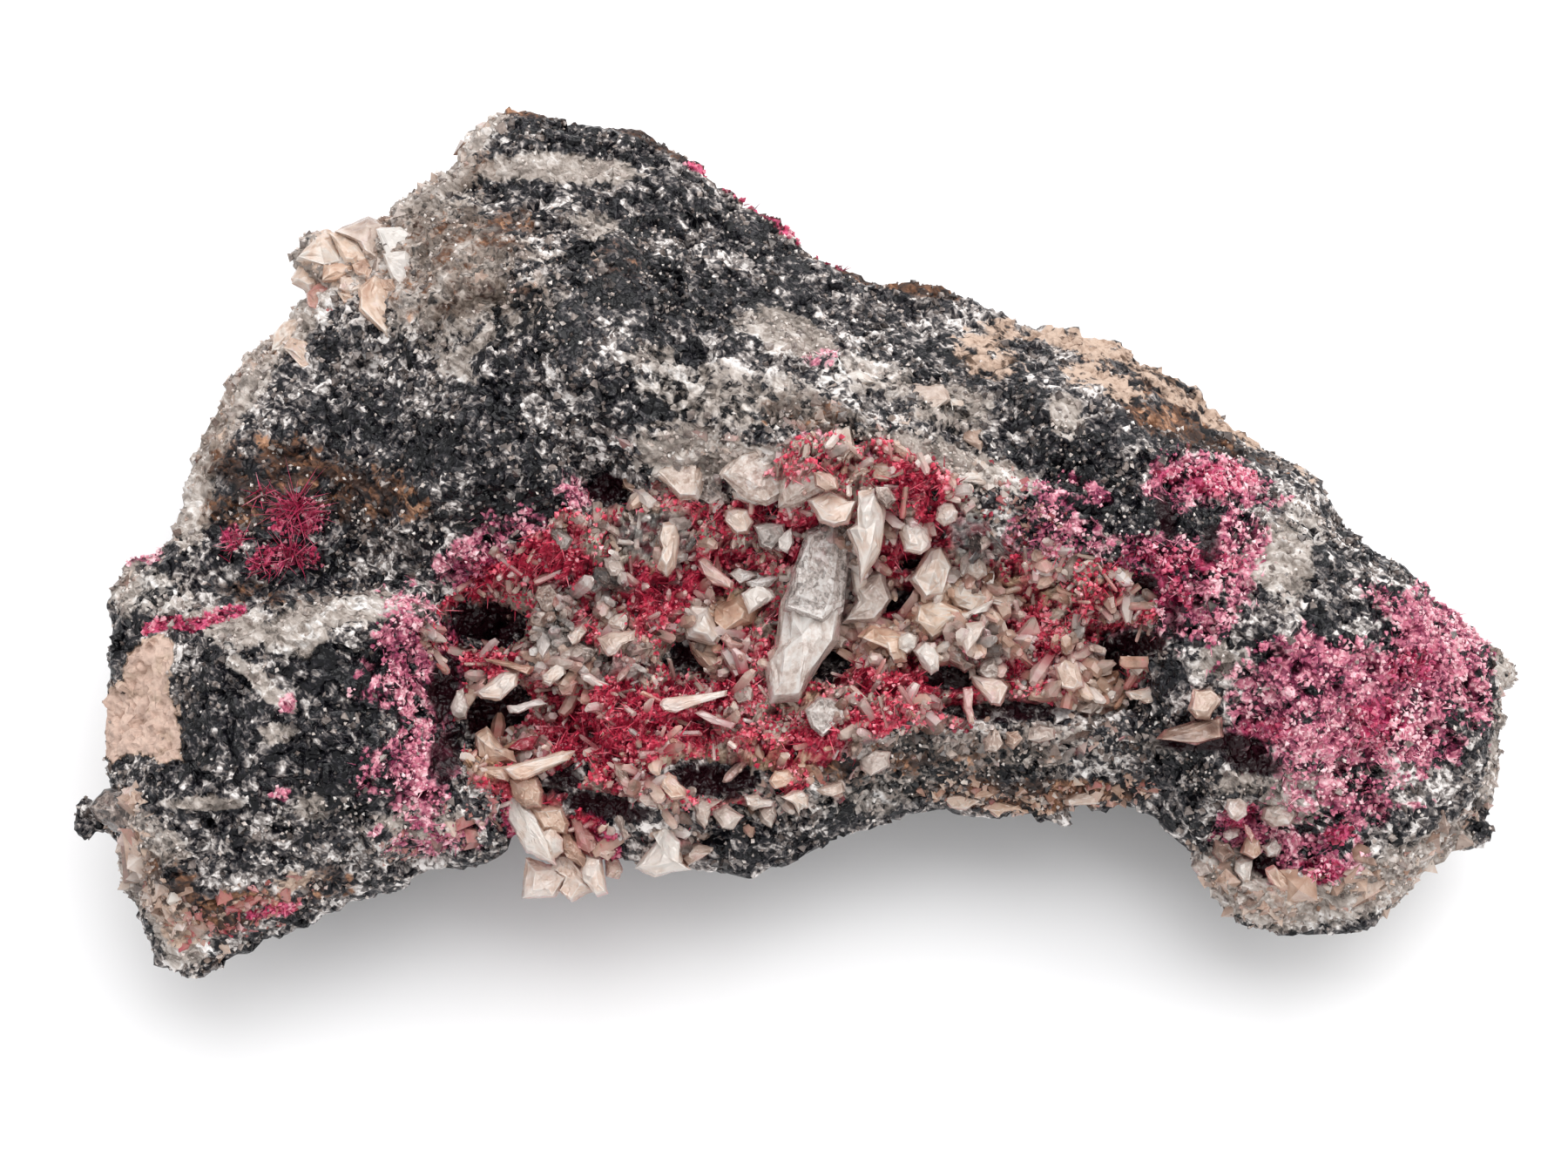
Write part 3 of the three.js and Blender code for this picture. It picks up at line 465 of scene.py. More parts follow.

# %% Holes, painted near black as shade
# Each goes down between the crystals or into the rose crust.
HOLE_BLOTS = [
    (-17.4, -7.2, 2.1, 1.3, -5, 1), (-19.4, -10.8, 0.9, 2.2, 0, 0.9), (-17.2, -12.6, 2.2, 1.2, 30, 0.95),
    (-19.3, -14.6, 0.7, 1.6, 0, 0.8), (-10.4, 0.9, 1.1, 1, 0, 1), (-5.9, -9.1, 1.2, 0.9, 0, 1),
    (-4.5, -16.2, 2.8, 0.9, -5, 0.95), (-10.2, -17.8, 2.4, 0.7, -10, 0.9), (-4, 1, 0.35, 0.5, 0, 0.9),
    (18.9, -4.6, 0.8, 0.6, 0, 0.9), (20, -1, 0.5, 1.6, 8, 0.8), (22.4, -2.4, 0.5, 1.3, -12, 0.75),
    (20.4, -6.6, 0.5, 1.2, 5, 0.7), (18.3, -8.4, 1.8, 0.9, 15, 1), (17.2, -10.2, 0.8, 0.6, 0, 0.8),
    (23, -13.9, 3, 0.5, 0, 0.95), (24.6, -14.9, 1.6, 0.8, -20, 0.85), (25.8, -21.3, 0.8, 0.6, 0, 0.9),
    (6.4, -3.6, 0.6, 0.5, 0, 0.9), (5.4, -5.8, 1.6, 0.5, 20, 0.85), (8.6, -10.4, 1.4, 0.7, 0, 0.8),
    (12, -12.2, 4, 0.5, 0, 0.7), (1.6, -9.6, 1.2, 1, 0, 0.6), (-13.2, -16.4, 1.6, 0.6, 20, 0.8),
]

# %% Dark rock
# Patches where the rock's colour is darker.
DARK_BLOTS = [
    (-8, 12.5, 5, 2.6, -25, 0.9), (-20, 4.5, 6.5, 3.6, -15, 0.7), (-24.5, -12.5, 4, 4.5, 0, 0.6),
    (15, 1.2, 2.4, 2.4, 0, 0.9), (21, -3.5, 3, 4.5, 0, 0.7), (27.2, -3.6, 1.6, 3.6, 20, 0.7),
    (-9, 6, 4, 1.6, -15, 0.7), (-17, -0.4, 5, 1.6, -5, 0.8), (20, -17, 2.2, 3, 0, 0.6),
    (-36.6, -7, 1.4, 2.4, 0, 0.5), (-28.6, -1.4, 4.6, 3.4, 0, 0.9), (-12, 22.5, 4.5, 1, -10, 0.6),
    (6, 11.8, 2.6, 1.4, -15, 0.8), (-5.5, 9.8, 2.2, 1.5, 0, 0.8), (-30.6, -12.8, 3, 3.4, 0, 0.7),
    (-4.5, 12.6, 2.4, 2, 0, 0.7), (4, -16.2, 9.5, 1.8, 4, 1), (-13.8, 11, 4, 2.4, -20, 0.6),
    (-2, 16, 4.5, 1, -35, 0.7), (33, -1.4, 2.6, 2, -40, 0.5),
]
print("dark holes:", len(HOLE_BLOTS), "patches of dark rock:", len(DARK_BLOTS))


# %% Strengths on the rock
def pits(points):
    """How deep a place lies in a pit, from 0 to 1: each cell's middle is hollow, some more than
    others, with ragged walls."""
    distance, _, numbers = cells(points + 0.12 * broken_flats(points, 0.5, 33)[:, None], 1.3, 36)
    return np.clip((0.16 + 0.34 * numbers[:, 0] - distance) / 0.16, 0, 1)


def mineral_strengths(points):
    """How strongly each mineral shows at each point, from 0 to 1, with frayed edges. Clay, rust
    and rose also have gaps inside, where a finer noise takes them below the level that shows."""
    plan = plan_of(points)
    fray = 0.28 * rough_noise(points, 1.7, 50) + 0.16 * broken_flats(points, 0.6, 60)
    gaps = 0.55 * rough_noise(points, 1.1, 170) + 0.4 * smooth_noise(points, 0.55, 180)
    shaken = tuple(axis + 0.5 * rough_noise(points, 1.0, 190 + k) for k, axis in enumerate(plan))
    pale = np.maximum(blots(plan, PALE_BLOTS, 1.7 * fray), bands(plan, PALE_BANDS, fray))
    clay = np.clip(blots(plan, CLAY_BLOTS, 1.8 * fray) + 1.8 * np.minimum(gaps - 0.02, 0), 0, 1)
    clay = np.maximum(clay, 1.2 * inside(shaken, CLAY_OUTLINE) + 0.9 * np.minimum(gaps + 0.25, 0))
    rust = np.clip(blots(plan, RUST_BLOTS, 1.6 * fray) + 1.1 * np.minimum(gaps - 0.04, 0), 0, 1)
    rust = np.maximum(rust, bands(plan, RUST_BANDS, fray))
    rose = np.clip(blots(plan, ROSE_BLOTS, 2.2 * fray), 0, 1)
    rose = np.clip(rose - 1.3 * np.maximum(gaps - 0.02, 0) * (rose > 0), 0, 1)
    crimson = np.maximum(blots(plan, CRIMSON_BLOTS, 1.5 * fray), bands(plan, CRIMSON_BANDS, fray))
    # The hole strength is painted shade: it darkens the holes and the rose crust's pits to near black.
    hole = blots(plan, HOLE_BLOTS, 1.6 * fray)
    hole = np.maximum(hole, 0.9 * np.clip(1.6 * rose - 0.2, 0, 1) * pits(points))
    dark = blots(plan, DARK_BLOTS, 2 * fray)
    clean = np.clip((points[:, 2] - 5.0) / 2.0, 0, 1)
    named = {
        "pale": pale, "clay": clay, "rust": rust, "rose": rose,
        "crimson": crimson, "hole": hole, "dark": dark,
    }
    return {key: clean * np.clip(strength, 0, 1.2) for key, strength in named.items()}


crusted = np.clip(2 * blots(plan_of(rock_places), ROSE_BLOTS) - 0.3, 0, 1)
rock_places -= normals * (0.65 * crusted * pits(rock_places))[:, None]
rock_values = mineral_strengths(rock_places)
print({key: round(float(value.mean()), 3) for key, value in rock_values.items()})

# %% [markdown]
# ## Finishes
# All the minerals share one trait: they are made of grains, each with its own tone and its own
# flat face. That effect is built once, as a node group that gives every grain a random tone, a
# finer speckle and a height. Each finish then colours those tones in its own way, and mixes in
# the strengths kept on the vertices.


# %% Node helpers
def add_node(tree, kind, inputs=None, **settings):
    """A node with its settings made, and each input either linked to a socket or set."""
    node = tree.nodes.new(kind)
    for key, value in settings.items():
        setattr(node, key, value)
    for key, value in (inputs or {}).items():
        if isinstance(value, bpy.types.NodeSocket):
            tree.links.new(value, node.inputs[key])
        else:
            node.inputs[key].default_value = value
    return node


def maths(tree, operation, a, b=0.0, clamp=False):
    """The result of one Math node."""
    return add_node(tree, "ShaderNodeMath", {0: a, 1: b}, operation=operation, use_clamp=clamp).outputs[0]


# %% Colours from numbers
def ramp(tree, factor, stops):
    """A colour that follows a number through stops of (position, red, green, blue)."""
    node = add_node(tree, "ShaderNodeValToRGB", {"Fac": factor})
    elements = node.color_ramp.elements
    for element, (position, *colour) in zip(elements, (stops[0], stops[-1])):
        element.position = position
        element.color = (*colour, 1)
    for position, *colour in stops[1:-1]:
        elements.new(position).color = (*colour, 1)
    return node.outputs["Color"]


def blend(tree, factor, below, above):
    """One colour over another by a factor."""
    node = add_node(tree, "ShaderNodeMix", {"Factor": factor}, data_type="RGBA")
    for socket, value in ((node.inputs[6], below), (node.inputs[7], above)):
        if isinstance(value, bpy.types.NodeSocket):
            tree.links.new(value, socket)
        else:
            socket.default_value = (*value, 1)
    return node.outputs[2]


def strength(tree, name):
    """A number kept on the vertices under a name."""
    return add_node(tree, "ShaderNodeAttribute", attribute_name=name).outputs["Fac"]


def edge(tree, value, middle, softness):
    """A step from 0 to 1 round a middle value, as wide as the softness."""
    settings = {"Value": value, "From Min": middle - softness, "From Max": middle + softness}
    return add_node(tree, "ShaderNodeMapRange", settings, clamp=True).outputs["Result"]


# %% Shared effect: mineral grains
def mineral_grains():
    """Grains of two sizes: a tone for each coarse grain, a finer speckle, and the height of a
    low pyramid on each grain."""
    group = bpy.data.node_groups.new("mineral grains", "ShaderNodeTree")
    group.interface.new_socket("Size", in_out="INPUT", socket_type="NodeSocketFloat").default_value = 0.4
    for name in ("Tone", "Speckle", "Height"):
        group.interface.new_socket(name, in_out="OUTPUT", socket_type="NodeSocketFloat")
    entry = group.nodes.new("NodeGroupInput")
    exit_node = group.nodes.new("NodeGroupOutput")
    places_node = group.nodes.new("ShaderNodeTexCoord")
    scale = maths(group, "DIVIDE", 1 / MM, entry.outputs["Size"])
    here = places_node.outputs["Object"]
    drift = add_node(group, "ShaderNodeTexNoise", {"Vector": here, "Scale": 0.9 / MM})
    reach = (0.35 * MM, 0.35 * MM, 0.35 * MM)
    pushed = add_node(
        group, "ShaderNodeVectorMath", {0: drift.outputs["Color"], 1: reach, 2: here},
        operation="MULTIPLY_ADD",
    ).outputs[0]
    coarse = add_node(group, "ShaderNodeTexVoronoi", {"Vector": pushed, "Scale": scale})
    fine_scale = maths(group, "MULTIPLY", scale, 2.3)
    fine = add_node(group, "ShaderNodeTexVoronoi", {"Vector": pushed, "Scale": fine_scale})
    tone = add_node(group, "ShaderNodeSeparateColor", {"Color": coarse.outputs["Color"]})
    speckle = add_node(group, "ShaderNodeSeparateColor", {"Color": fine.outputs["Color"]})
    lift = maths(group, "SUBTRACT", 1.0, coarse.outputs["Distance"])
    small_lift = maths(group, "MULTIPLY", fine.outputs["Distance"], 0.45)
    group.links.new(tone.outputs["Red"], exit_node.inputs["Tone"])
    group.links.new(speckle.outputs["Green"], exit_node.inputs["Speckle"])
    group.links.new(maths(group, "SUBTRACT", lift, small_lift), exit_node.inputs["Height"])
    return group


GRAINS = mineral_grains()
print("grain group:", len(GRAINS.nodes), "nodes")


# %% Starting a finish
def grains_of(tree, size):
    """The grain group placed in a material, for grains of a size in mm."""
    grains = tree.nodes.new("ShaderNodeGroup")
    grains.node_tree = GRAINS
    grains.inputs["Size"].default_value = size
    return grains


def new_finish(name, size):
    """An empty material, with its tree, its shader and grains of a size in mm."""
    material = bpy.data.materials.new(name)
    material.use_nodes = True
    tree = material.node_tree
    return material, tree, tree.nodes["Principled BSDF"], grains_of(tree, size)


def bump(tree, shader, height, depth):
    """Feeds a height to the shader's normal, with its depth in mm."""
    node = add_node(tree, "ShaderNodeBump", {"Height": height, "Strength": 1.0, "Distance": depth * MM})
    tree.links.new(node.outputs["Normal"], shader.inputs["Normal"])


# %% Patches and threads
def drifting(tree, size, detail, distortion, turn=0.0, stretch=(1, 1, 1)):
    """Smooth noise round zero, with patches of a size in mm, stretched along a turned direction."""
    places_node = tree.nodes.new("ShaderNodeTexCoord")
    turned = add_node(
        tree, "ShaderNodeMapping",
        {"Vector": places_node.outputs["Object"], "Rotation": (0, 0, math.radians(turn)), "Scale": stretch},
        vector_type="TEXTURE",
    )
    settings = {
        "Vector": turned.outputs["Vector"], "Scale": 1 / (size * MM),
        "Detail": detail, "Distortion": distortion,
    }
    noise = add_node(tree, "ShaderNodeTexNoise", settings)
    return maths(tree, "SUBTRACT", noise.outputs["Fac"], 0.5)


def summed(tree, start, *terms):
    """A start value plus each (number, factor) term."""
    total = start
    for number, factor in terms:
        node = add_node(tree, "ShaderNodeMath", {0: number, 1: factor}, operation="MULTIPLY_ADD")
        if isinstance(total, bpy.types.NodeSocket):
            tree.links.new(total, node.inputs[2])
        else:
            node.inputs[2].default_value = total
        total = node.outputs[0]
    return total


def threads(tree, size, thinness, turn, stretch):
    """Thin winding lines, from 0 to 1: 1 minus the distance of smooth noise from its middle."""
    away = maths(tree, "ABSOLUTE", drifting(tree, size, 3, 1.0, turn, stretch))
    return add_node(tree, "ShaderNodeMath", {0: away, 1: -thinness, 2: 1.0}, operation="MULTIPLY_ADD",
                    use_clamp=True).outputs[0]


# %% Colours of the rock
# Each is a ramp of (position, red, green, blue) for one of its minerals.
ROCK_COLOURS = [
    (0.0, 0.002, 0.002, 0.003), (0.26, 0.005, 0.005, 0.008), (0.42, 0.034, 0.031, 0.035),
    (0.57, 0.135, 0.118, 0.114), (0.73, 0.33, 0.295, 0.28), (0.95, 0.76, 0.72, 0.7),
]
GLASS_COLOURS = [
    (0.0, 0.08, 0.066, 0.058), (0.25, 0.19, 0.16, 0.14), (0.5, 0.35, 0.3, 0.268),
    (0.72, 0.54, 0.49, 0.455), (0.97, 0.84, 0.82, 0.81),
]
RUST_COLOURS = [
    (0.1, 0.007, 0.005, 0.005), (0.45, 0.045, 0.024, 0.018), (0.7, 0.15, 0.068, 0.036),
    (0.95, 0.46, 0.25, 0.15),
]
CLAY_COLOURS = [(0.0, 0.13, 0.08, 0.055), (0.3, 0.37, 0.26, 0.2), (0.75, 0.53, 0.4, 0.32)]
ROSE_COLOURS = [
    (0.05, 0.015, 0.003, 0.008), (0.32, 0.19, 0.025, 0.07), (0.56, 0.57, 0.19, 0.26),
    (0.85, 0.9, 0.62, 0.66),
]
CRIMSON_COLOURS = [(0.1, 0.05, 0.002, 0.012), (0.4, 0.28, 0.012, 0.06), (0.75, 0.62, 0.1, 0.21)]
STREAKS = -35  # the direction of the rock's streaks in plan, in degrees
print("palest rock:", ROCK_COLOURS[-1][1:])


# %% Finish of the rock
def vein_rock():
    """Near-black rock with grey grains edged in white, cut by streaky translucent quartz, with
    rust, clay and erythrite laid over both. Every edge is made ragged by the grains."""
    material, tree, shader, grains = new_finish("vein rock", 0.62)
    chunks = grains_of(tree, 2.4)
    coarse, fine = grains.outputs["Tone"], grains.outputs["Speckle"]
    wisps = drifting(tree, 0.8, 4, 1.2)
    drift = drifting(tree, 4.5, 2, 0.5)
    patches = drifting(tree, 1.8, 3, 1.5, turn=STREAKS, stretch=(1.4, 0.8, 1))
    edges = threads(tree, 1.0, 9.0, turn=STREAKS, stretch=(1.4, 0.8, 1))
    streaks = drifting(tree, 1.2, 5, 1.4, turn=STREAKS, stretch=(2.0, 0.7, 1))
    ground = summed(tree, -0.2, (drift, 1.1), (patches, 0.8), (edges, 0.3), (strength(tree, "dark"), -0.32))
    tone = summed(tree, ground, (coarse, 0.6), (fine, 0.42), (wisps, 1.2))
    colour = ramp(tree, tone, ROCK_COLOURS)
    glassy = summed(tree, 0.02, (streaks, 1.15), (drift, 0.6), (coarse, 0.2), (fine, 0.12), (edges, 0.14))
    glassy = summed(tree, glassy, (chunks.outputs["Tone"], 0.28), (chunks.outputs["Speckle"], 0.22))
    glass = ramp(tree, glassy, GLASS_COLOURS)
    stained = maths(tree, "MULTIPLY", strength(tree, "rust"), 0.6, clamp=True)
    glass = blend(tree, stained, glass, (0.25, 0.155, 0.1))
    ragged = summed(tree, -0.42, (coarse, 0.4), (fine, 0.28), (wisps, 0.9), (edges, 0.2))

    def laid_over(below, name, above, raggedness, middle=0.5, softness=0.18):
        """One colour over another where a mineral is strong, with an edge broken up by grains."""
        amount = strength(tree, name)
        near = maths(tree, "MULTIPLY", amount, 3.0 * raggedness, clamp=True)
        value = summed(tree, amount, (maths(tree, "MULTIPLY", ragged, near), raggedness))
        return blend(tree, edge(tree, value, middle, softness), below, above)

    colour = laid_over(colour, "pale", glass, 0.95, 0.38, 0.18)
    colour = laid_over(colour, "rust", ramp(tree, glassy, RUST_COLOURS), 1.3, 0.5, 0.25)
    clay = ramp(tree, tone, CLAY_COLOURS)
    paler = maths(tree, "MULTIPLY", edge(tree, strength(tree, "clay"), 1.1, 0.08), 0.6)
    clay = blend(tree, paler, clay, (0.64, 0.47, 0.4))
    colour = laid_over(colour, "clay", clay, 1.0)
    blush = summed(tree, 0.05, (coarse, 0.42), (fine, 0.28), (wisps, 1.2), (patches, 0.8))
    colour = laid_over(colour, "rose", ramp(tree, blush, ROSE_COLOURS), 1.4, 0.45, 0.2)
    colour = laid_over(colour, "crimson", ramp(tree, tone, CRIMSON_COLOURS), 1.0, 0.5, 0.2)
    # Painted shade: the holes and pits go near black.
    colour = blend(tree, edge(tree, strength(tree, "hole"), 0.55, 0.3), colour, (0.012, 0.002, 0.004))
    tree.links.new(colour, shader.inputs["Base Color"])
    rusty = maths(tree, "MULTIPLY", strength(tree, "rust"), 0.6)
    dull = maths(tree, "MAXIMUM", strength(tree, "clay"), rusty)
    roughness = add_node(tree, "ShaderNodeMapRange", {"Value": dull, "To Min": 0.2, "To Max": 0.9})
    tree.links.new(roughness.outputs["Result"], shader.inputs["Roughness"])
    shader.inputs["Specular IOR Level"].default_value = 0.25
    heights = summed(tree, grains.outputs["Height"], (chunks.outputs["Height"], 1.5))
    bump(tree, shader, heights, 0.16)
    return material


VEIN_ROCK = vein_rock()
print("vein rock:", len(VEIN_ROCK.node_tree.nodes), "nodes")

# %% The rock
make_piece("rock", (rock_places, rock_triangles), rock_values, VEIN_ROCK, ["matrix_rock"])

# %% [markdown]
# ## Standing things on the rock
# Grains and crystals have to sit on the surface wherever they are put. Each one could be cast
# down on the mesh by a ray, one at a time. A height map answers for thousands at once: the
# highest point of the upper face in every small square of the plan.


# %% Height map of the upper face
SQUARE = 0.25  # side of a square of the height map, in mm
MAP_ORIGIN = np.array([-42, -28])  # its front left corner, in mm
MAP_SHAPE = (232, 340)  # its rows and columns


def square_of(x, y):
    """Row and column of the height map's square that a place lies in."""
    column = np.clip(((x - MAP_ORIGIN[0]) / SQUARE).astype(int), 0, MAP_SHAPE[1] - 1)
    row = np.clip(((y - MAP_ORIGIN[1]) / SQUARE).astype(int), 0, MAP_SHAPE[0] - 1)
    return row, column


def make_height_map(points):
    """The highest point in every square. Empty squares take their neighbours' highest, a few
    times over, and what is still empty lies off the rock, at zero."""
    heights = np.zeros(MAP_SHAPE)
    np.maximum.at(heights, square_of(points[:, 0], points[:, 1]), points[:, 2])
    for _ in range(3):
        around = [np.roll(heights, step, axis) for step in (-1, 1) for axis in (0, 1)]
        heights = np.where(heights > 0, heights, np.max(around, axis=0))
    return heights


def softened(field, times):
    """A field blurred by averaging each square with its four neighbours, several times."""
    for _ in range(times):
        around = [np.roll(field, step, axis) for step in (-1, 1) for axis in (0, 1)]
        field = (field + sum(around)) / 5
    return field


# %% Heights and slopes
facing_up = normals[:, 2] > 0.1
HEIGHTS = make_height_map(rock_places[facing_up])
SLOPES = np.gradient(softened(HEIGHTS, 4), SQUARE)


def height_at(x, y):
    """Height of the rock's upper face at each place, from the square that it lies in."""
    return HEIGHTS[square_of(x, y)]


def outward_at(x, y):
    """The direction that the upper face looks in at each place: (-slope along x, -slope along
    y, 1), made one unit long."""
    row, column = square_of(x, y)
    steep = np.stack([-SLOPES[1][row, column], -SLOPES[0][row, column], np.ones(len(x))], axis=1)
    return steep / np.linalg.norm(steep, axis=1, keepdims=True)


print("height under the great blade:", np.round(height_at(np.array([0.5]), np.array([-7.0])), 1))

# %% [markdown]
# ## Small shapes by the thousand
# A quartz crystal is a six-sided prism with a sloping end, an erythrite needle is a long thin
# spike, and a grain is a rough eight-faced chip. Instances would be lost on export, so each kind
# is worked out as one array of all its corners, and joined into one mesh.


# %% Frames round each axis
def frames(axes, spins):
    """Two directions across each axis, turned round it by a spin in radians. The first is the
    axis crossed with whichever of X and Z it is further from."""
    helper = np.where(np.abs(axes[:, 2:3]) > 0.8, [[1.0, 0, 0]], [[0, 0, 1.0]])
    across = np.cross(axes, helper)
    across /= np.linalg.norm(across, axis=1, keepdims=True)
    upright = np.cross(axes, across)
    cos, sin = np.cos(spins)[:, None], np.sin(spins)[:, None]
    return across * cos + upright * sin, upright * cos - across * sin


def leaning(outward, lean, rng):
    """Directions that lean off the outward ones by up to an angle in degrees, evenly spread
    over the cap: outward times its cosine, plus a random direction across times its sine."""
    tilt = np.radians(lean) * np.sqrt(rng.random(len(outward)))
    side, _ = frames(outward, rng.uniform(0, 2 * np.pi, len(outward)))
    return outward * np.cos(tilt)[:, None] + side * np.sin(tilt)[:, None]


# %% Crystals
def repeated(pattern, corners, count):
    """The triangles of one shape for each of many shapes, whose corners follow one another, and
    the number of its shape for each corner."""
    triangles = pattern[None] + corners * np.arange(count)[:, None, None]
    return triangles.reshape(-1, 3), np.repeat(np.arange(count), corners)


def crystal_arrays(roots, axes, lengths, widths, thicknesses, rng):
    """Six-sided prisms with sloping ends, as places, triangles and the number of its crystal for
    each place. Corner k of a ring is at the root, plus the axis times the ring's height, plus the
    two cross directions times half the width and half the thickness at angle 60 k. The
    shoulder's corners are at uneven heights, so that the end faces differ in size."""
    count = len(roots)
    sides = 6
    first, second = frames(axes, rng.uniform(0, 2 * np.pi, count))
    angles = 2 * np.pi * np.arange(sides) / sides
    rim = (
        first[:, None] * np.cos(angles)[None, :, None] * widths[:, None, None] / 2
        + second[:, None] * np.sin(angles)[None, :, None] * thicknesses[:, None, None] / 2
    )
    end = np.minimum(0.35 * lengths, rng.uniform(0.25, 0.7, count) * widths)
    shoulder = (lengths - end)[:, None] + 0.3 * end[:, None] * rng.uniform(-1, 1, (count, sides))
    tip_size = rng.uniform(0.3, 0.7, count)[:, None, None]
    tip_shift = (first + second) * (rng.uniform(-0.18, 0.18, count) * widths)[:, None]
    tip_height = lengths[:, None] + 0.12 * end[:, None] * rng.uniform(-1, 1, (count, sides))
    taper = rng.uniform(0.82, 1.0, count)[:, None, None]
    rings = [
        roots[:, None] + rim * 0.9,
        roots[:, None] + rim * taper + axes[:, None] * shoulder[..., None],
        (roots + tip_shift)[:, None] + rim * tip_size + axes[:, None] * tip_height[..., None],
    ]
    corner_places = np.concatenate(rings, axis=1).reshape(-1, 3)
    k = np.arange(sides)
    ahead = (k + 1) % sides
    walls = np.concatenate([
        np.stack([k, ahead, ahead + sides], axis=1), np.stack([k, ahead + sides, k + sides], axis=1),
    ])
    fan = np.arange(1, sides - 1)
    bottom = np.stack([0 * fan, fan + 1, fan], axis=1)
    top = np.stack([0 * fan, fan, fan + 1], axis=1) + 2 * sides
    pattern = np.concatenate([walls, walls + sides, bottom, top])
    return corner_places, *repeated(pattern, 3 * sides, count)


# %% Needles and chips
def needle_arrays(roots, axes, lengths, widths, rng):
    """Spikes with a three-cornered foot and one tip, as places, triangles and numbers."""
    count = len(roots)
    first, second = frames(axes, rng.uniform(0, 2 * np.pi, count))
    angles = 2 * np.pi * np.arange(3) / 3
    flatness = rng.uniform(0.35, 0.9, count)
    foot = roots[:, None] + (
        first[:, None] * np.cos(angles)[None, :, None] * (widths / 2)[:, None, None]
        + second[:, None] * np.sin(angles)[None, :, None] * (widths * flatness / 2)[:, None, None]
    )
    tip = (roots + axes * lengths[:, None])[:, None]
    corner_places = np.concatenate([foot, tip], axis=1).reshape(-1, 3)
    pattern = np.array([[0, 1, 3], [1, 2, 3], [2, 0, 3], [0, 2, 1]])
    return corner_places, *repeated(pattern, 4, count)


def chip_arrays(centres, axes, sizes, rng):
    """Eight-faced chips: six corners along an axis and its two cross directions, each at its own
    distance of 0.5 to 1.2 times the size."""
    count = len(centres)
    first, second = frames(axes, rng.uniform(0, 2 * np.pi, count))
    spokes = np.stack([first, second, -first, -second, axes, -axes], axis=1)
    reach = sizes[:, None] * rng.uniform(0.5, 1.2, (count, 6))
    corner_places = (centres[:, None] + spokes * reach[..., None]).reshape(-1, 3)
    pattern = np.array([
        [0, 1, 4], [1, 2, 4], [2, 3, 4], [3, 0, 4], [1, 0, 5], [2, 1, 5], [3, 2, 5], [0, 3, 5],
    ])
    return corner_places, *repeated(pattern, 6, count)


# %% Joining shapes and choosing places
def joined(parts):
    """Several (places, triangles, numbers) joined, with each part's numbering moved on."""
    all_places, all_triangles, all_numbers = [], [], []
    vertices = pieces = 0
    for part_places, part_triangles, part_numbers in parts:
        all_places.append(part_places)
        all_triangles.append(part_triangles + vertices)
        all_numbers.append(part_numbers + pieces)
        vertices += len(part_places)
        pieces += part_numbers.max() + 1
    return np.concatenate(all_places), np.concatenate(all_triangles), np.concatenate(all_numbers)


def chosen(weights, count, rng):
    """Numbers of places picked at random without repeats, in proportion to their weights."""
    share = weights / weights.sum()
    return rng.choice(len(weights), size=min(count, int((weights > 0).sum())), replace=False, p=share)


# %% [markdown]
# ## The lining of the long hollow
# The hollow's floor is a heap of intergrown crystals over granular erythrite, with holes between them whose
# near black is painted shade. It is a sheet over the hollow's plan, at the rock's height plus a lift. The
# lift is made of broken flats at three sizes, so that the floor itself looks like crowded crystal faces,
# and it drops away in the holes. A second sheet inside the rock closes it.

# %% Outline and colours of the floor
HOLLOW_BACK = [
    (-20.6, -7.6), (-19.4, -4.6), (-16, -2.4), (-12.5, -1), (-10, 0.4), (-6, 0.6), (-2, 1.4), (2, 2.6),
    (5.5, 2), (9, -0.6), (12, -2.6), (15, -3.6), (18, -4.4), (20, -7),
]
HOLLOW_FRONT = [
    (-20.6, -9), (-19.8, -13), (-17.6, -16.4), (-14, -17.8), (-10, -18.2), (-6, -18), (-2, -17.2),
    (2, -15.6), (7, -13.6), (12, -12.6), (17, -12.2), (20, -9),
]
CRIMSON_IN_HOLLOW = [
    (-16.5, -3.4, 3.2, 1.2, 15, 1), (-13.4, -4, 2.6, 1.6, -20, 1), (-12, 0.3, 1.2, 1, 0, 0.9),
    (-17.4, -9.4, 2.6, 0.8, 0, 0.9), (-18.8, -5.2, 2.2, 0.8, 0, 0.8), (-9.8, -12.8, 5.8, 2.1, 8, 1.2),
    (-8.2, -5.4, 2, 1.6, 0, 0.9), (-5.2, -4.3, 2.8, 1.4, 20, 1), (-2.4, -1, 2.4, 0.9, -5, 1),
    (0.4, -2.2, 1.3, 1.7, 0, 0.9), (-4, -8.4, 1.3, 1, 0, 0.9), (-3.4, -11, 1.8, 1, 0, 0.9),
    (5.8, 1.4, 2.1, 1, -15, 1.1), (7.4, -0.8, 1, 1.6, 0, 0.9), (5.4, -3.2, 1.6, 1.6, 0, 0.9),
    (4.8, -6.3, 1.7, 0.9, 20, 1), (3, -9.6, 1.8, 0.8, 0, 0.9), (6.2, -10.6, 1.9, 0.8, 0, 0.9),
    (4.2, -12.7, 2.2, 0.9, 0, 0.8), (1.2, -13.8, 2, 0.8, 0, 0.9), (9.2, -10.8, 0.8, 1.7, 0, 0.9),
    (11.8, -9.4, 1.1, 0.7, 0, 0.8), (14, -9.8, 1.2, 1.3, 0, 0.8), (-9.6, -15.4, 1.8, 1.3, 0, 0.8),
    (-11.6, -18.4, 1, 1.8, 10, 0.8), (-15, -17.2, 2.6, 1, 0, 0.7), (16.6, -6, 1.6, 1.8, 0, 0.6),
]
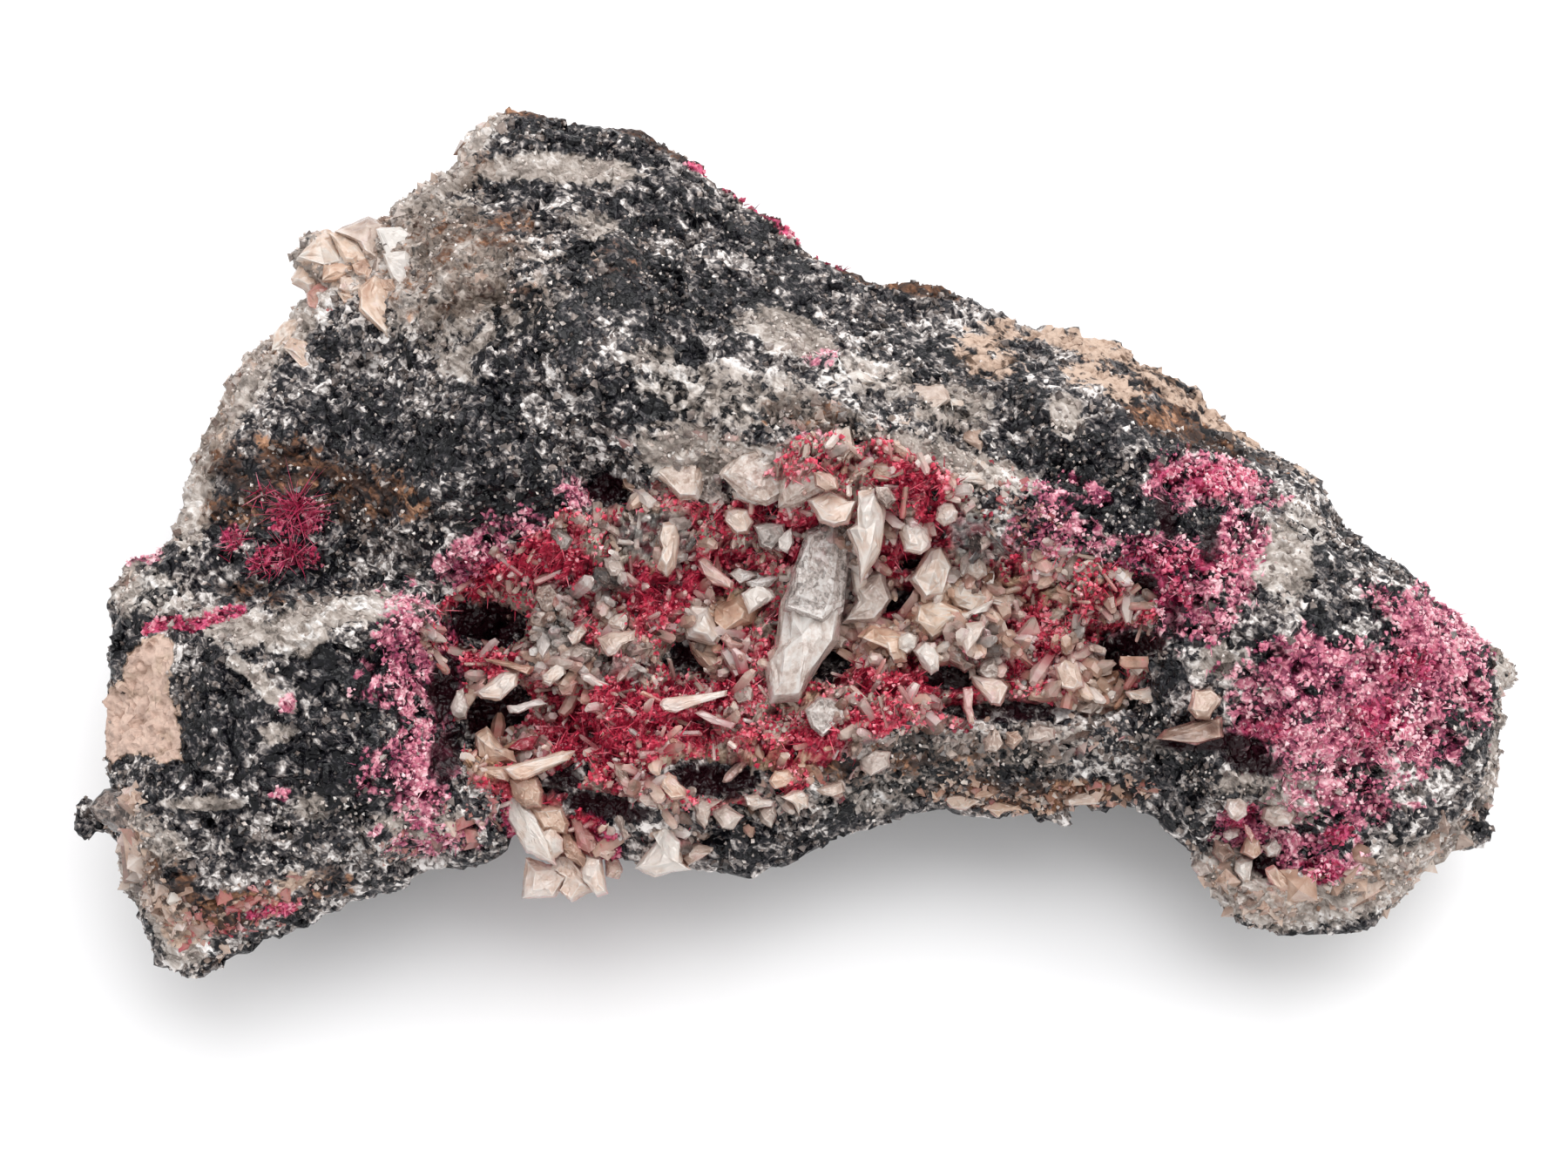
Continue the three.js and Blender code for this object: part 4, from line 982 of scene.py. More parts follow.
TAN_IN_HOLLOW = [
    (7.6, -5.6, 2.8, 1.3, -10, 1), (5, -8.5, 2.6, 1.4, 0, 1), (-3.4, -6.2, 1.7, 1.1, 20, 0.9),
    (-0.4, -14.8, 2.8, 1.4, 0, 0.7), (12, -5.4, 2.6, 1.4, -10, 0.7), (-17, -14.6, 1.5, 1.5, 0, 0.8),
    (0.4, -11.4, 1.6, 1, 0, 0.6), (16.8, -11.2, 3, 1, 0, 0.7), (-6, -15, 2.6, 1, 0, 0.5),
]
GREY_IN_HOLLOW = [
    (-11.6, -5, 1.8, 1.4, 0, 0.9), (-13.2, -7.6, 1.6, 1.6, 0, 0.7), (1.4, -3.8, 1.6, 2.4, 0, 1),
    (-8, -1.8, 2.4, 1.4, 0, 0.7), (10, -2, 2.6, 1.4, -15, 0.8), (-1.6, -1.4, 1.4, 0.8, 0, 0.7),
    (-9.4, -9.8, 1.6, 1.4, 0, 0.6), (6, -14.2, 5, 1, 0, 0.7),
]
print("hollow from x =", HOLLOW_BACK[0][0], "to", HOLLOW_BACK[-1][0], "mm")


# %% The floor sheet
def sheet_triangles(columns, rows):
    """Triangles of a closed pair of sheets with columns by rows corners each: the upper sheet's
    cells, the lower sheet's turned over, and a strip round the edge."""
    grid = np.arange(columns * rows).reshape(columns, rows)
    a, b, c, d = (g.ravel() for g in (grid[:-1, :-1], grid[1:, :-1], grid[1:, 1:], grid[:-1, 1:]))
    upper = np.concatenate([np.stack([a, b, c], 1), np.stack([a, c, d], 1)])
    lower = upper[:, ::-1] + columns * rows
    loop = np.concatenate([grid[:-1, 0], grid[-1, :-1], grid[:0:-1, -1], grid[0, :0:-1]])
    ahead = np.roll(loop, -1)
    under = columns * rows
    strip = np.concatenate([
        np.stack([loop, loop + under, ahead + under], 1), np.stack([loop, ahead + under, ahead], 1),
    ])
    return np.concatenate([upper, lower, strip])


# %% Shape of the floor
def hollow_floor():
    """The floor as places, triangles and relief: x runs along, and y runs from the front edge to
    the back edge. The height is the rock's, plus a lift that starts below the surface at the edge,
    rises within a millimetre or two, and is broken by flats of three sizes."""
    columns, rows = 230, 92
    along, across = np.meshgrid(np.linspace(0, 1, columns), np.linspace(0, 1, rows), indexing="ij")
    x = HOLLOW_BACK[0][0] + along * (HOLLOW_BACK[-1][0] - HOLLOW_BACK[0][0])
    back = np.interp(x, *np.array(HOLLOW_BACK).T)
    front = np.interp(x, *np.array(HOLLOW_FRONT).T)
    y = front + across * (back - front)
    depth = back - front
    inward = np.minimum.reduce([across * depth, (1 - across) * depth, along * 40, 40 - along * 40])
    level = np.stack([x, y, 0 * x], axis=-1).reshape(-1, 3)
    inward = inward + 0.5 * smooth_noise(level, 1.6, 70).reshape(x.shape)
    rock_height = softened(HEIGHTS, 3)[square_of(x.ravel(), y.ravel())].reshape(x.shape)
    spots = np.stack([x, y, rock_height], axis=-1).reshape(-1, 3)
    ease = np.clip(inward / 1.6, 0, 1)
    flat = spots * [1, 1, 0.4]
    flats = 0.8 * broken_flats(flat, 1.7, 80) + 0.55 * broken_flats(flat, 0.85, 90)
    flats += 0.2 * broken_flats(spots, 0.4, 95) - 0.15
    holes = blots(plan_of(spots), HOLE_BLOTS, 0.45 * rough_noise(spots, 1.2, 97))
    risen = ease * ease * (3 - 2 * ease) * (2.0 + flats.reshape(x.shape))
    lift = -0.9 + risen - 4.5 * holes.reshape(x.shape)
    top = rock_height + lift
    inside_rock = np.minimum(top, rock_height) - 1.0
    sheets = [np.stack([x, y, z], axis=-1).reshape(-1, 3) for z in (top, inside_rock)]
    return np.concatenate(sheets), sheet_triangles(columns, rows), (top - softened(top, 14)).ravel()


# %% Minerals of the floor
def lining_strengths(points, relief):
    """Strengths of each mineral in the hollow, and how low a place lies among its neighbours."""
    plan = plan_of(points)
    fray = 0.3 * rough_noise(points, 1.2, 55) + 0.25 * broken_flats(points, 0.7, 65)
    mottled = 0.5 * rough_noise(points, 1.6, 210) + 0.3 * smooth_noise(points, 0.8, 220)
    between = np.clip(0.42 + 0.9 * mottled, 0, 0.75)
    return {
        "crimson": np.maximum(blots(plan, CRIMSON_IN_HOLLOW, fray), between),
        "warmth": blots(plan, TAN_IN_HOLLOW, fray),
        "grey": blots(plan, GREY_IN_HOLLOW, fray),
        "hole": blots(plan, HOLE_BLOTS, 1.3 * fray),
        "low": np.clip(-relief / 0.45, 0, 1),
    }


floor_places, floor_triangles, floor_relief = hollow_floor()
floor_values = lining_strengths(floor_places, np.tile(floor_relief, 2))
print("hollow floor:", len(floor_triangles), "triangles")


# %% Finish of the lining
def hollow_lining():
    """Cream quartz tinted grey or tan by place, over crimson erythrite in the low parts. Painted shade
    darkens the low parts towards deep maroon, and the holes to near black."""
    material, tree, shader, grains = new_finish("hollow lining", 0.55)
    tone = summed(tree, 0.0, (grains.outputs["Speckle"], 0.45), (grains.outputs["Tone"], 0.55))
    cream = ramp(tree, tone, [
        (0.0, 0.1, 0.075, 0.06), (0.35, 0.33, 0.27, 0.22), (0.9, 0.66, 0.58, 0.5),
    ])
    grey = ramp(tree, tone, [
        (0.0, 0.03, 0.03, 0.032), (0.5, 0.2, 0.195, 0.19), (0.95, 0.55, 0.53, 0.5),
    ])
    tan = ramp(tree, tone, [
        (0.0, 0.13, 0.06, 0.035), (0.45, 0.46, 0.3, 0.19), (0.95, 0.74, 0.56, 0.4),
    ])
    red = ramp(tree, tone, [
        (0.05, 0.07, 0.001, 0.008), (0.4, 0.32, 0.006, 0.03), (0.75, 0.62, 0.045, 0.1),
        (1.0, 0.8, 0.3, 0.34),
    ])
    colour = blend(tree, edge(tree, strength(tree, "grey"), 0.5, 0.25), cream, grey)
    colour = blend(tree, edge(tree, strength(tree, "warmth"), 0.5, 0.25), colour, tan)
    reddish = summed(tree, strength(tree, "crimson"), (strength(tree, "low"), 0.35))
    colour = blend(tree, edge(tree, reddish, 0.55, 0.2), colour, red)
    # Painted shade: the low parts among the crystals darken towards deep maroon.
    sunk = maths(tree, "MULTIPLY", strength(tree, "low"), 0.9)
    colour = blend(tree, sunk, colour, (0.07, 0.006, 0.012))
    # Painted shade: the holes go near black.
    colour = blend(tree, edge(tree, strength(tree, "hole"), 0.5, 0.3), colour, (0.016, 0.001, 0.004))
    tree.links.new(colour, shader.inputs["Base Color"])
    shader.inputs["Roughness"].default_value = 0.32
    bump(tree, shader, grains.outputs["Height"], 0.08)
    return material


HOLLOW_LINING = hollow_lining()
make_piece(
    "hollow_floor", (floor_places, floor_triangles), floor_values, HOLLOW_LINING,
    ["long_hollow_crystal_crust"],
)

# %% [markdown]
# ## Crystals in the hollow
# Each large crystal has its own outline in plan, as it would be drawn from above: a block with
# a bevelled crest, sunk in the floor. Between them stand hundreds of smaller ones, leaning every
# way. They are picked at random spots of the floor, more where quartz shows and none in the
# holes. Each has a tone and a warmth of its own, because they run from grey through cream to tan.


# %% Finish of quartz
def quartz(name, transmission, roughness):
    """Milky quartz. Its tone picks a grey and a tan from two ramps, its warmth mixes them, frost
    breaks the surface up into bright and dark grains, and erythrite dust reddens it."""
    material, tree, shader, grains = new_finish(name, 0.3)
    places_node = tree.nodes.new("ShaderNodeTexCoord")
    settings = {"Vector": places_node.outputs["Object"], "Scale": 1.1 / MM, "Detail": 5.0}
    clouds = add_node(tree, "ShaderNodeTexNoise", settings).outputs["Fac"]
    cloudy = maths(tree, "MULTIPLY", maths(tree, "SUBTRACT", clouds, 0.5), 0.85)
    tone = maths(tree, "ADD", strength(tree, "tone"), cloudy)
    frosted = summed(tree, -0.5, (grains.outputs["Tone"], 0.55), (grains.outputs["Speckle"], 0.45))
    tone = summed(tree, tone, (maths(tree, "MULTIPLY", frosted, strength(tree, "frost")), 0.8))
    grey = ramp(tree, tone, [
        (0.0, 0.02, 0.02, 0.022), (0.3, 0.15, 0.135, 0.13), (0.55, 0.43, 0.385, 0.36),
        (0.8, 0.76, 0.68, 0.64), (1.0, 0.96, 0.92, 0.89),
    ])
    tan = ramp(tree, tone, [
        (0.0, 0.06, 0.03, 0.02), (0.3, 0.33, 0.165, 0.105), (0.55, 0.7, 0.42, 0.29),
        (0.8, 0.95, 0.7, 0.54), (1.0, 0.98, 0.89, 0.8),
    ])
    colour = blend(tree, strength(tree, "warmth"), grey, tan)
    dust = maths(tree, "ADD", strength(tree, "dust"), maths(tree, "MULTIPLY", cloudy, 1.6))
    colour = blend(tree, edge(tree, dust, 0.6, 0.4), colour, (0.56, 0.06, 0.1))
    tree.links.new(colour, shader.inputs["Base Color"])
    shader.inputs["Roughness"].default_value = roughness
    shader.inputs["Transmission Weight"].default_value = transmission
    shader.inputs["IOR"].default_value = 1.54
    bump(tree, shader, summed(tree, clouds, (grains.outputs["Height"], 0.25)), 0.05)
    return material


MILKY_QUARTZ = quartz("milky quartz", 0.45, 0.08)
print("milky quartz:", len(MILKY_QUARTZ.node_tree.nodes), "nodes")

# %% One block
RINGS = [(-0.9, 0.5), (0, 0), (0.44, 0.24), (0.62, 0.7)]  # level and inset, per thickness
SLANT = 0.34  # steepest slope of a block's crest
UNEVEN = 0.16  # how far a corner may rise or fall, per thickness


def block(row, ground, rng, grow, stain):
    """One crystal: a foot, a girdle, a shoulder and a crest, each a ring of its outline moved
    inward and up, with a middle point above and below. Levels vary so that faces tilt. It is
    darker and more stained towards its foot. The plan's places move forward by the lean times
    their height above its level, so that the crystal leans as the veins do."""
    rise, thickness, tone, warmth, frost, red, outline = row
    corners = np.reshape(outline, (-1, 2))
    middle = corners.mean(axis=0)
    away = (corners - middle) * grow
    reach = np.hypot(*away.T)[:, None]
    base = ground(middle[:1], middle[1:])[0] + rise
    slope = rng.uniform(-SLANT, SLANT, 2)
    rings = []
    for level, inset in RINGS:
        shrunk = middle + away * (1 - np.minimum(inset * thickness / reach, 0.8 * inset))
        lift = thickness * (level + rng.uniform(-UNEVEN, UNEVEN, len(corners)) * (level >= 0))
        rings.append(np.column_stack([shrunk, base + (shrunk - middle) @ slope + lift]))
    ends = [[*middle, rings[3][:, 2].mean() + 0.05], [*middle, base - thickness]]
    places_of_block = np.concatenate([*rings, ends])
    places_of_block[:, 1] -= (places_of_block[:, 2] - VEIN_LEVEL) * VEIN_LEAN
    size = len(corners)
    k = np.arange(size)
    ahead = (k + 1) % size
    walls = [
        triangle
        for low in (0, size, 2 * size)
        for triangle in (np.stack([k + low, ahead + low, ahead + low + size], 1),
                         np.stack([k + low, ahead + low + size, k + low + size], 1))
    ]
    top = np.stack([k + 3 * size, ahead + 3 * size, np.full(size, 4 * size)], 1)
    bottom = np.stack([ahead, k, np.full(size, 4 * size + 1)], 1)
    # Tones and warmths are spread wider than in the list, for contrast between neighbours.
    looks = np.tile([1.35 * tone - 0.09, 1.2 * warmth - 0.12, frost, red], (len(places_of_block), 1))
    depth = np.append(np.repeat([1.0, 0.75, 0.1, 0.0], size), [0.0, 1.0])
    looks += depth[:, None] * [-0.22, 0, 0, stain]
    return places_of_block, np.concatenate([*walls, top, bottom]), looks


# %% Worn blocks
def split_in_four(mesh_places, mesh_triangles, looks):
    """Every triangle cut into four at the middles of its edges. Looks are averaged there."""
    sides = mesh_triangles[:, [0, 1, 1, 2, 2, 0]].reshape(-1, 2)
    ends, which = np.unique(np.sort(sides, axis=1), axis=0, return_inverse=True)
    ab, bc, ca = (which.reshape(-1, 3) + len(mesh_places)).T
    a, b, c = mesh_triangles.T
    quarters = [(a, ab, ca), (ab, b, bc), (ca, bc, c), (ab, bc, ca)]
    smaller = np.concatenate([np.stack(quarter, axis=1) for quarter in quarters])
    return (
        np.concatenate([mesh_places, mesh_places[ends].mean(axis=1)]), smaller,
        np.concatenate([looks, looks[ends].mean(axis=1)]),
    )


def chipped_blocks(rows, ground, rng, rounds=2, grow=1.0, stain=0.45):
    """All the blocks of a list, cut finer and worn by noise along their normals. Edges are
    lighter: there the faces round a corner disagree, and their mean normal is short."""
    parts = [block(row, ground, rng, grow, stain) for row in rows]
    starts = np.cumsum([0] + [len(part[0]) for part in parts])
    mesh_places = np.concatenate([part[0] for part in parts])
    mesh_triangles = np.concatenate([part[1] + start for part, start in zip(parts, starts)])
    looks = np.concatenate([part[2] for part in parts])
    for _ in range(rounds):
        mesh_places, mesh_triangles, looks = split_in_four(mesh_places, mesh_triangles, looks)
    a, b, c = (mesh_places[mesh_triangles[:, k]] for k in range(3))
    facing = np.cross(b - a, c - a)
    facing /= np.linalg.norm(facing, axis=1, keepdims=True) + 1e-12
    outward = np.zeros_like(mesh_places)
    for k in range(3):
        np.add.at(outward, mesh_triangles[:, k], facing)
    length = np.linalg.norm(outward, axis=1, keepdims=True) + 1e-9
    outward /= length
    looks[:, :1] += np.clip(1.2 * (1 - length / np.bincount(mesh_triangles.ravel())[:, None]), 0, 0.25)
    wear = 0.06 * broken_flats(mesh_places, 0.6, 110) + 0.02 * broken_flats(mesh_places, 0.28, 120)
    return mesh_places + outward * wear[:, None], mesh_triangles, looks


# %% Blocks as a piece
def quartz_values(looks):
    """The four looks of quartz by name, from the columns of an array."""
    return dict(zip(("tone", "warmth", "frost", "dust"), looks.T))


def make_blocks(name, rows, ground, rng, slot, replaces=(), warmer=0.0, **ways):
    """The blocks of a list as one piece of milky quartz, warmer than the list says by a set
    amount. Returns the places of their corners."""
    shape = chipped_blocks(rows, ground, rng, **ways)
    shape[2][:, 1] += warmer
    make_piece(name, shape, quartz_values(shape[2]), MILKY_QUARTZ, replaces)
    return shape[0]


# %% Large crystals
# Each is (rise over the floor, thickness, tone, warmth, frost, dust, outline), with lengths in mm
# and the outline's corners in plan as x, y, x, y and so on.
LARGE_CRYSTALS = [
    (1.2, 0.9, 0.62, 0.25, 0, 0.1, [-19.2, -12, -19, -12.5, -18.7, -12.7, -18.3, -12.6, -18.1, -12,
     -18.4, -11.3, -18.4, -10.8, -18.8, -11]),
    (1.9, 0.9, 0.72, 0.6, 0, 0, [-17.4, -11.4, -16.3, -11.5, -15.5, -10.7, -15.4, -9.9, -16, -9.6,
     -17.7, -11.1]),
    (1.5, 0.7, 0.4, 0.8, 0, 0.2, [-16.8, -9.4, -16, -9.6, -14.8, -10, -14.6, -9.6, -15.8, -9.3,
     -17.3, -9.1]),
    (2, 0.8, 0.78, 0.55, 0, 0, [-14, -10.5, -13.6, -10.7, -12.8, -10, -12.8, -9.3, -13.3, -9.4,
     -14.1, -10.1]),
    (2.2, 0.6, 0.82, 0.55, 0, 0.1, [-11.8, -10.3, -11.2, -10.7, -10.5, -10.8, -10.4, -10.6, -11.4, -10,
     -11.9, -10]),
    (1.8, 1, 0.55, 0.75, 0, 0.3, [-13.2, -10.9, -13, -11.3, -12.4, -11.3, -12.1, -10.5, -12.5, -10.2,
     -13.1, -10.5]),
    (2.2, 0.5, 0.92, 0.3, 0, 0.1, [-16.1, -11.9, -15.9, -12.3, -15.4, -12.3, -14.5, -11.9, -13.8, -11.8,
     -14.3, -11.5, -15.1, -11.7, -15.5, -11.9]),
    (1.5, 1, 0.62, 0.4, 0.5, 0, [-10.7, -6.9, -10.3, -7.3, -9.6, -7.5, -9.3, -7, -9.4, -6.4, -10, -6.5]),
    (1.8, 1, 0.66, 0.5, 0, 0, [-10.4, -8.9, -10, -8.9, -9.6, -8.3, -9, -8, -9, -7.5, -10.2, -7.5,
     -11, -7.9]),
    (1.6, 0.9, 0.6, 0.3, 0.1, 0, [-10.6, -3.7, -10.3, -4.3, -9.9, -4.3, -9.5, -3.9, -9.7, -3.4, -10.1, -3,
     -10.7, -3.2]),
    (1.1, 0.9, 0.38, 0.2, 0.1, 0, [-13.7, -1.7, -13.3, -2.1, -12.9, -2.8, -12.6, -2.7, -12.3, -2.1,
     -12.6, -1.7, -13.2, -1.3, -13.8, -1.2]),
    (2, 1, 0.66, 0.62, 0, 0, [-7.4, -2.6, -7.7, -3.7, -7.2, -4.2, -6.7, -3.7, -6.5, -1.9, -6.7, -1.1,
     -7.4, -1.2, -7.6, -1.9]),
    (1.3, 1, 0.48, 0.38, 0.6, 0.1, [-14.5, -5.5, -14.2, -6.2, -13.8, -6.5, -13.2, -6.1, -13.2, -5.3,
     -13.7, -4.6, -14.4, -4.8]),
    (1.5, 0.9, 0.62, 0.52, 0.1, 0.1, [-12.4, -8.3, -12, -8.1, -11.6, -7.5, -11.9, -7.1, -12.5, -7.3,
     -12.7, -7.8]),
    (1.3, 0.9, 0.45, 0.25, 0.8, 0, [-12.5, -9.3, -11.8, -9.5, -11.1, -9, -11.2, -8.5, -12.1, -8.1,
     -12.7, -8.8]),
    (1.5, 0.8, 0.6, 0.1, 0.1, 0, [-14.3, -8.8, -14, -9.1, -13.6, -8.3, -13.7, -7.3, -14.1, -7.1,
     -14.5, -8]),
    (2, 1.3, 0.62, 0.8, 0, 0.1, [-17.8, -13.6, -17.7, -14.9, -17, -15.3, -15.6, -15.2, -15.8, -14.6,
     -16.3, -14.4, -17.2, -13.2]),
    (2.4, 1.1, 0.55, 0.78, 0, 0.1, [-17.2, -15.6, -16.4, -16, -15.8, -16.1, -15.6, -15.6, -15.8, -15.3,
     -17.6, -15.3]),
    (2.6, 0.8, 0.66, 0.78, 0, 0, [-15.3, -16, -14.7, -16, -12.5, -14.9, -12.3, -14.5, -12.9, -14.5,
     -15.6, -15.2, -15.9, -15.4]),
    (2, 0.7, 0.72, 0.35, 0, 0.9, [-15.4, -14.6, -14.7, -14.5, -14.4, -13.8, -14.8, -13.7, -15.4, -13.9,
     -16, -14.4]),
    (1.4, 1.7, 0.8, 0.55, 0, 0.05, [-7.8, -21.8, -5.8, -21.3, -6.3, -21, -6.4, -19.7, -7.2, -18.7,
     -7.9, -19.3, -7.6, -19.6, -8.9, -21.3]),
    (0.8, 1.3, 0.52, 0.5, 0, 0.1, [-6.4, -20.8, -6, -21.2, -4.6, -20.4, -4.4, -20.1, -5.4, -19.9,
     -6.3, -20.1]),
    (1.6, 0.9, 0.62, 0.76, 0, 0.1, [-7.4, -16.4, -6.8, -17.1, -6.1, -17, -6.1, -16.6, -6.6, -15.9,
     -7, -15.6, -7.3, -15.9]),
    (1.3, 1, 0.5, 0.35, 0, 0.1, [-8.6, -17.2, -8.2, -17.5, -7.6, -17.6, -7.4, -17.1, -7.5, -16.4,
     -8, -15.9, -8.5, -16.4]),
    (1.4, 0.9, 0.5, 0.45, 0, 0.3, [-9.9, -15.7, -9.5, -16.4, -8.9, -16.7, -8.8, -16.4, -9.1, -16,
     -9.4, -15.1, -10, -15.1]),
    (0.8, 0.9, 0.45, 0.35, 0, 0, [-10.1, -18.4, -9.4, -19.6, -9.1, -19.4, -9.5, -19.2, -9.4, -18.4,
     -9.5, -17.9, -10, -17.9]),
    (1.1, 1.1, 0.52, 0.35, 0.1, 0, [-5.4, -18.4, -4.9, -18.7, -4.7, -18.1, -4.6, -17.3, -5.2, -17.2,
     -5.7, -17.5]),
    (1.4, 1.1, 0.56, 0.35, 0.1, 0, [-4.1, -18.9, -3.5, -18.9, -2.9, -18.2, -3.9, -17.6, -4.7, -17.9]),
    (1.2, 1, 0.5, 0.35, 0, 0, [-5.5, -18.4, -5, -18.9, -4.8, -17.8, -4.1, -17.3, -4.9, -17.3, -5.7, -17.5]),
    (1.6, 0.9, 0.68, 0.42, 0, 0, [-2.8, -17.6, -2.4, -17.9, -1.3, -17.7, -1.2, -17.4, -1.9, -17.3,
     -2.1, -17, -2.9, -17.1]),
    (1, 1, 0.5, 0.35, 0.1, 0, [-2, -18.6, -1.4, -19, -1.1, -18.2, -1.2, -17.6, -2.1, -17.9]),
    (1.5, 1, 0.68, 0.62, 0, 0, [-0.2, -17.5, 0.1, -18.2, 0.2, -17.9, 0.6, -17.7, 0.6, -17.1, 0.3, -16.8,
     -0.2, -16.8, -0.8, -17.1]),
    (1, 0.9, 0.58, 0.5, 0, 0, [1.4, -17, 2, -17.1, 2.6, -16.8, 2.5, -16.2, 1.6, -16.4, 0.9, -16.7]),
    (1.6, 0.8, 0.62, 0.92, 0, 0, [-1.5, -16.2, -1.2, -16.6, -0.6, -16.5, -0.1, -16, -0.5, -15.6,
     -1.2, -15.6]),
    (1.8, 1, 0.62, 0.15, 0.8, 0, [0.8, -13, 1.4, -13.5, 2.6, -12.5, 2.5, -11.8, 1.9, -11.3, 1.2, -11.3,
     0.5, -12]),
    (1.6, 0.9, 0.52, 0.3, 0.1, 0.1, [-3.5, -11.3, -3.2, -11.7, -2.5, -11.5, -2.4, -10.8, -2.9, -10.3,
     -3.4, -10.7]),
    (1.2, 0.9, 0.55, 0.3, 0.2, 0, [3.5, -15.5, 4, -15.9, 5, -15.3, 5.1, -14.5, 4.3, -14.4, 3.4, -14.8]),
    (2.3, 0.6, 0.76, 0.52, 0, 0.1, [-7.2, -12, -6.6, -12.1, -4, -11.2, -3.9, -10.9, -5, -11.1,
     -7.1, -11.3, -7.4, -11.7]),
    (2.2, 0.4, 0.82, 0.4, 0, 0.5, [-4.6, -12.8, -3.6, -13.1, -3.4, -12.8, -4.5, -12.4, -5.2, -12,
     -5.6, -12.2]),
    (2.4, 1.8, 0.6, 0.12, 1, 0, [-0.1, -3.8, -0.7, -6.2, 1.4, -7, 2.5, -6.2, 3, -1.9, 1.9, -1, 0.6, -1.7]),
    (2.6, 2.4, 0.68, 0.28, 0.4, 0, [-1.1, -8.1, -1.7, -9.4, -1.4, -11.5, 0.1, -11.4, 0.6, -10.4, 2.2, -8,
     2.6, -5, 2.1, -3.4, 0.2, -3.6, -0.8, -5.8]),
    (2, 1, 0.52, 0.38, 0.4, 0, [1.7, -8.4, 2.5, -8.5, 2.8, -8, 2.2, -7.5, 1.4, -7]),
    (2.8, 2, 0.76, 0.55, 0, 0, [3.2, -1.3, 2.7, -1.6, 3.3, -3.2, 3.4, -4.6, 4.5, -2.9, 4.8, -0.6,
     4.2, 0.7, 3.3, 0.5]),
    (1.8, 1, 0.5, 0.32, 0.3, 0, [4.3, 0.2, 4.8, -0.3, 5.3, 0.1, 4.9, 0.9, 4.2, 0.9]),
    (2.4, 1.6, 0.7, 0.66, 0, 0.1, [1.2, -1.1, 2, -1.4, 2.7, -1.2, 3.3, 0.1, 2.8, 0.1, 1.7, 0.7, 0.6, 0.1]),
    (2, 1.2, 0.5, 0.62, 0, 0.1, [1, 0.9, 1.5, 0.6, 2.2, 0.7, 2.1, 1.4, 1.7, 1.7, 0.9, 1.7]),
    (1.6, 1.4, 0.66, 0.62, 0, 0.1, [-4, -1, -3.3, -1.8, -2.7, -1.7, -2.4, -1.1, -2.7, -0.4, -3.4, -0.2,
     -3.9, -0.4]),
    (1.4, 1.2, 0.85, 0.55, 0, 0, [-3.4, 0.3, -2.3, -0.1, -1.7, 0.1, -1.2, 0.7, -2.7, 1, -3.5, 0.7]),
    (1.6, 1.2, 0.48, 0.15, 0.3, 0, [-2, -2.5, -1.4, -2.8, -0.6, -1.9, -0.7, -1.2, -1.7, -1.1, -2.4, -1.3]),
    (2.2, 0.9, 0.86, 0.42, 0, 0.1, [-1, -2.7, -0.5, -2.9, -0.2, -2.3, -0.3, -1.4, -1.1, -2]),
    (1.6, 1.6, 0.72, 0.52, 0, 0, [-6.1, -7.9, -4.5, -8.3, -4.2, -7.9, -4.9, -6, -5.9, -5.9, -6.4, -6.4]),
    (1, 1.6, 0.52, 0.72, 0, 0.2, [-5.8, -8.9, -5, -9.9, -3.8, -10.2, -3.5, -9.8, -4.2, -8.3, -6.1, -8]),
    (1.4, 1.4, 0.5, 0.98, 0, 0, [-4.7, -7, -4.1, -7.6, -2.5, -7, -2.2, -6.2, -3.1, -5.1, -4.7, -5.9]),
    (2.2, 0.9, 0.88, 0.62, 0, 0, [-2.6, -6.4, -1.8, -6, -1.2, -5.5, -1.4, -5.1, -2.2, -4.6, -3, -5.3]),
    (1.9, 0.9, 0.72, 0.1, 0.7, 0, [-2.3, -5.2, -1.4, -4.8, -1, -4.3, -1.8, -4.3, -2.8, -4.6]),
    (1.9, 0.8, 0.68, 0.58, 0, 0.4, [-5.2, -4.1, -4.6, -4.7, -3.6, -5, -3.5, -4.6, -4.5, -3.7, -5.1, -3,
     -5.5, -3.3]),
    (1.6, 0.9, 0.64, 0.2, 0.2, 0, [-3.2, -4.7, -2.6, -4.5, -2.2, -4.2, -2.6, -3.9, -3.2, -3.8, -3.8, -4.1]),
    (1.6, 0.8, 0.56, 0.55, 0, 0.4, [-3.8, -8.6, -3.5, -8.8, -2.9, -8.3, -3.5, -8, -3.9, -7.6, -4.2, -7.9]),
    (2.2, 1.5, 0.62, 0.35, 0.3, 0, [3.3, -5.7, 2.5, -7, 4.3, -6.9, 5.2, -5.6, 4.7, -3.9, 3.2, -4.7]),
    (2, 1.3, 0.62, 0.95, 0, 0.1, [5, -8.5, 5.3, -9.3, 6, -9.2, 6, -7.8, 5, -7.3, 4.1, -7.2, 3.4, -7.8]),
    (1.9, 1.3, 0.74, 0.52, 0, 0.1, [5.8, -2.8, 6.7, -3, 7.2, -2.5, 7.1, -1.5, 6.6, -1.1, 5.8, -1.2,
     5.6, -1.7]),
    (1.8, 1.2, 0.68, 0.42, 0, 0.1, [7.5, -1, 7.9, -1.4, 8.5, -1.1, 8.7, -0.6, 8.4, -0.1, 7.9, 0,
     7.6, -0.4]),
    (1.9, 1.8, 0.7, 0.6, 0, 0.1, [6.2, -4.4, 7, -5.6, 8, -5.4, 8.5, -3.7, 7.9, -2.4, 7.3, -2.6]),
    (1.5, 1.5, 0.72, 0.76, 0, 0, [8.3, -5.3, 8.7, -6, 9.6, -6.4, 10.3, -6.2, 10.8, -5.6, 10.1, -5,
     9.9, -4.3, 8.7, -4.4]),
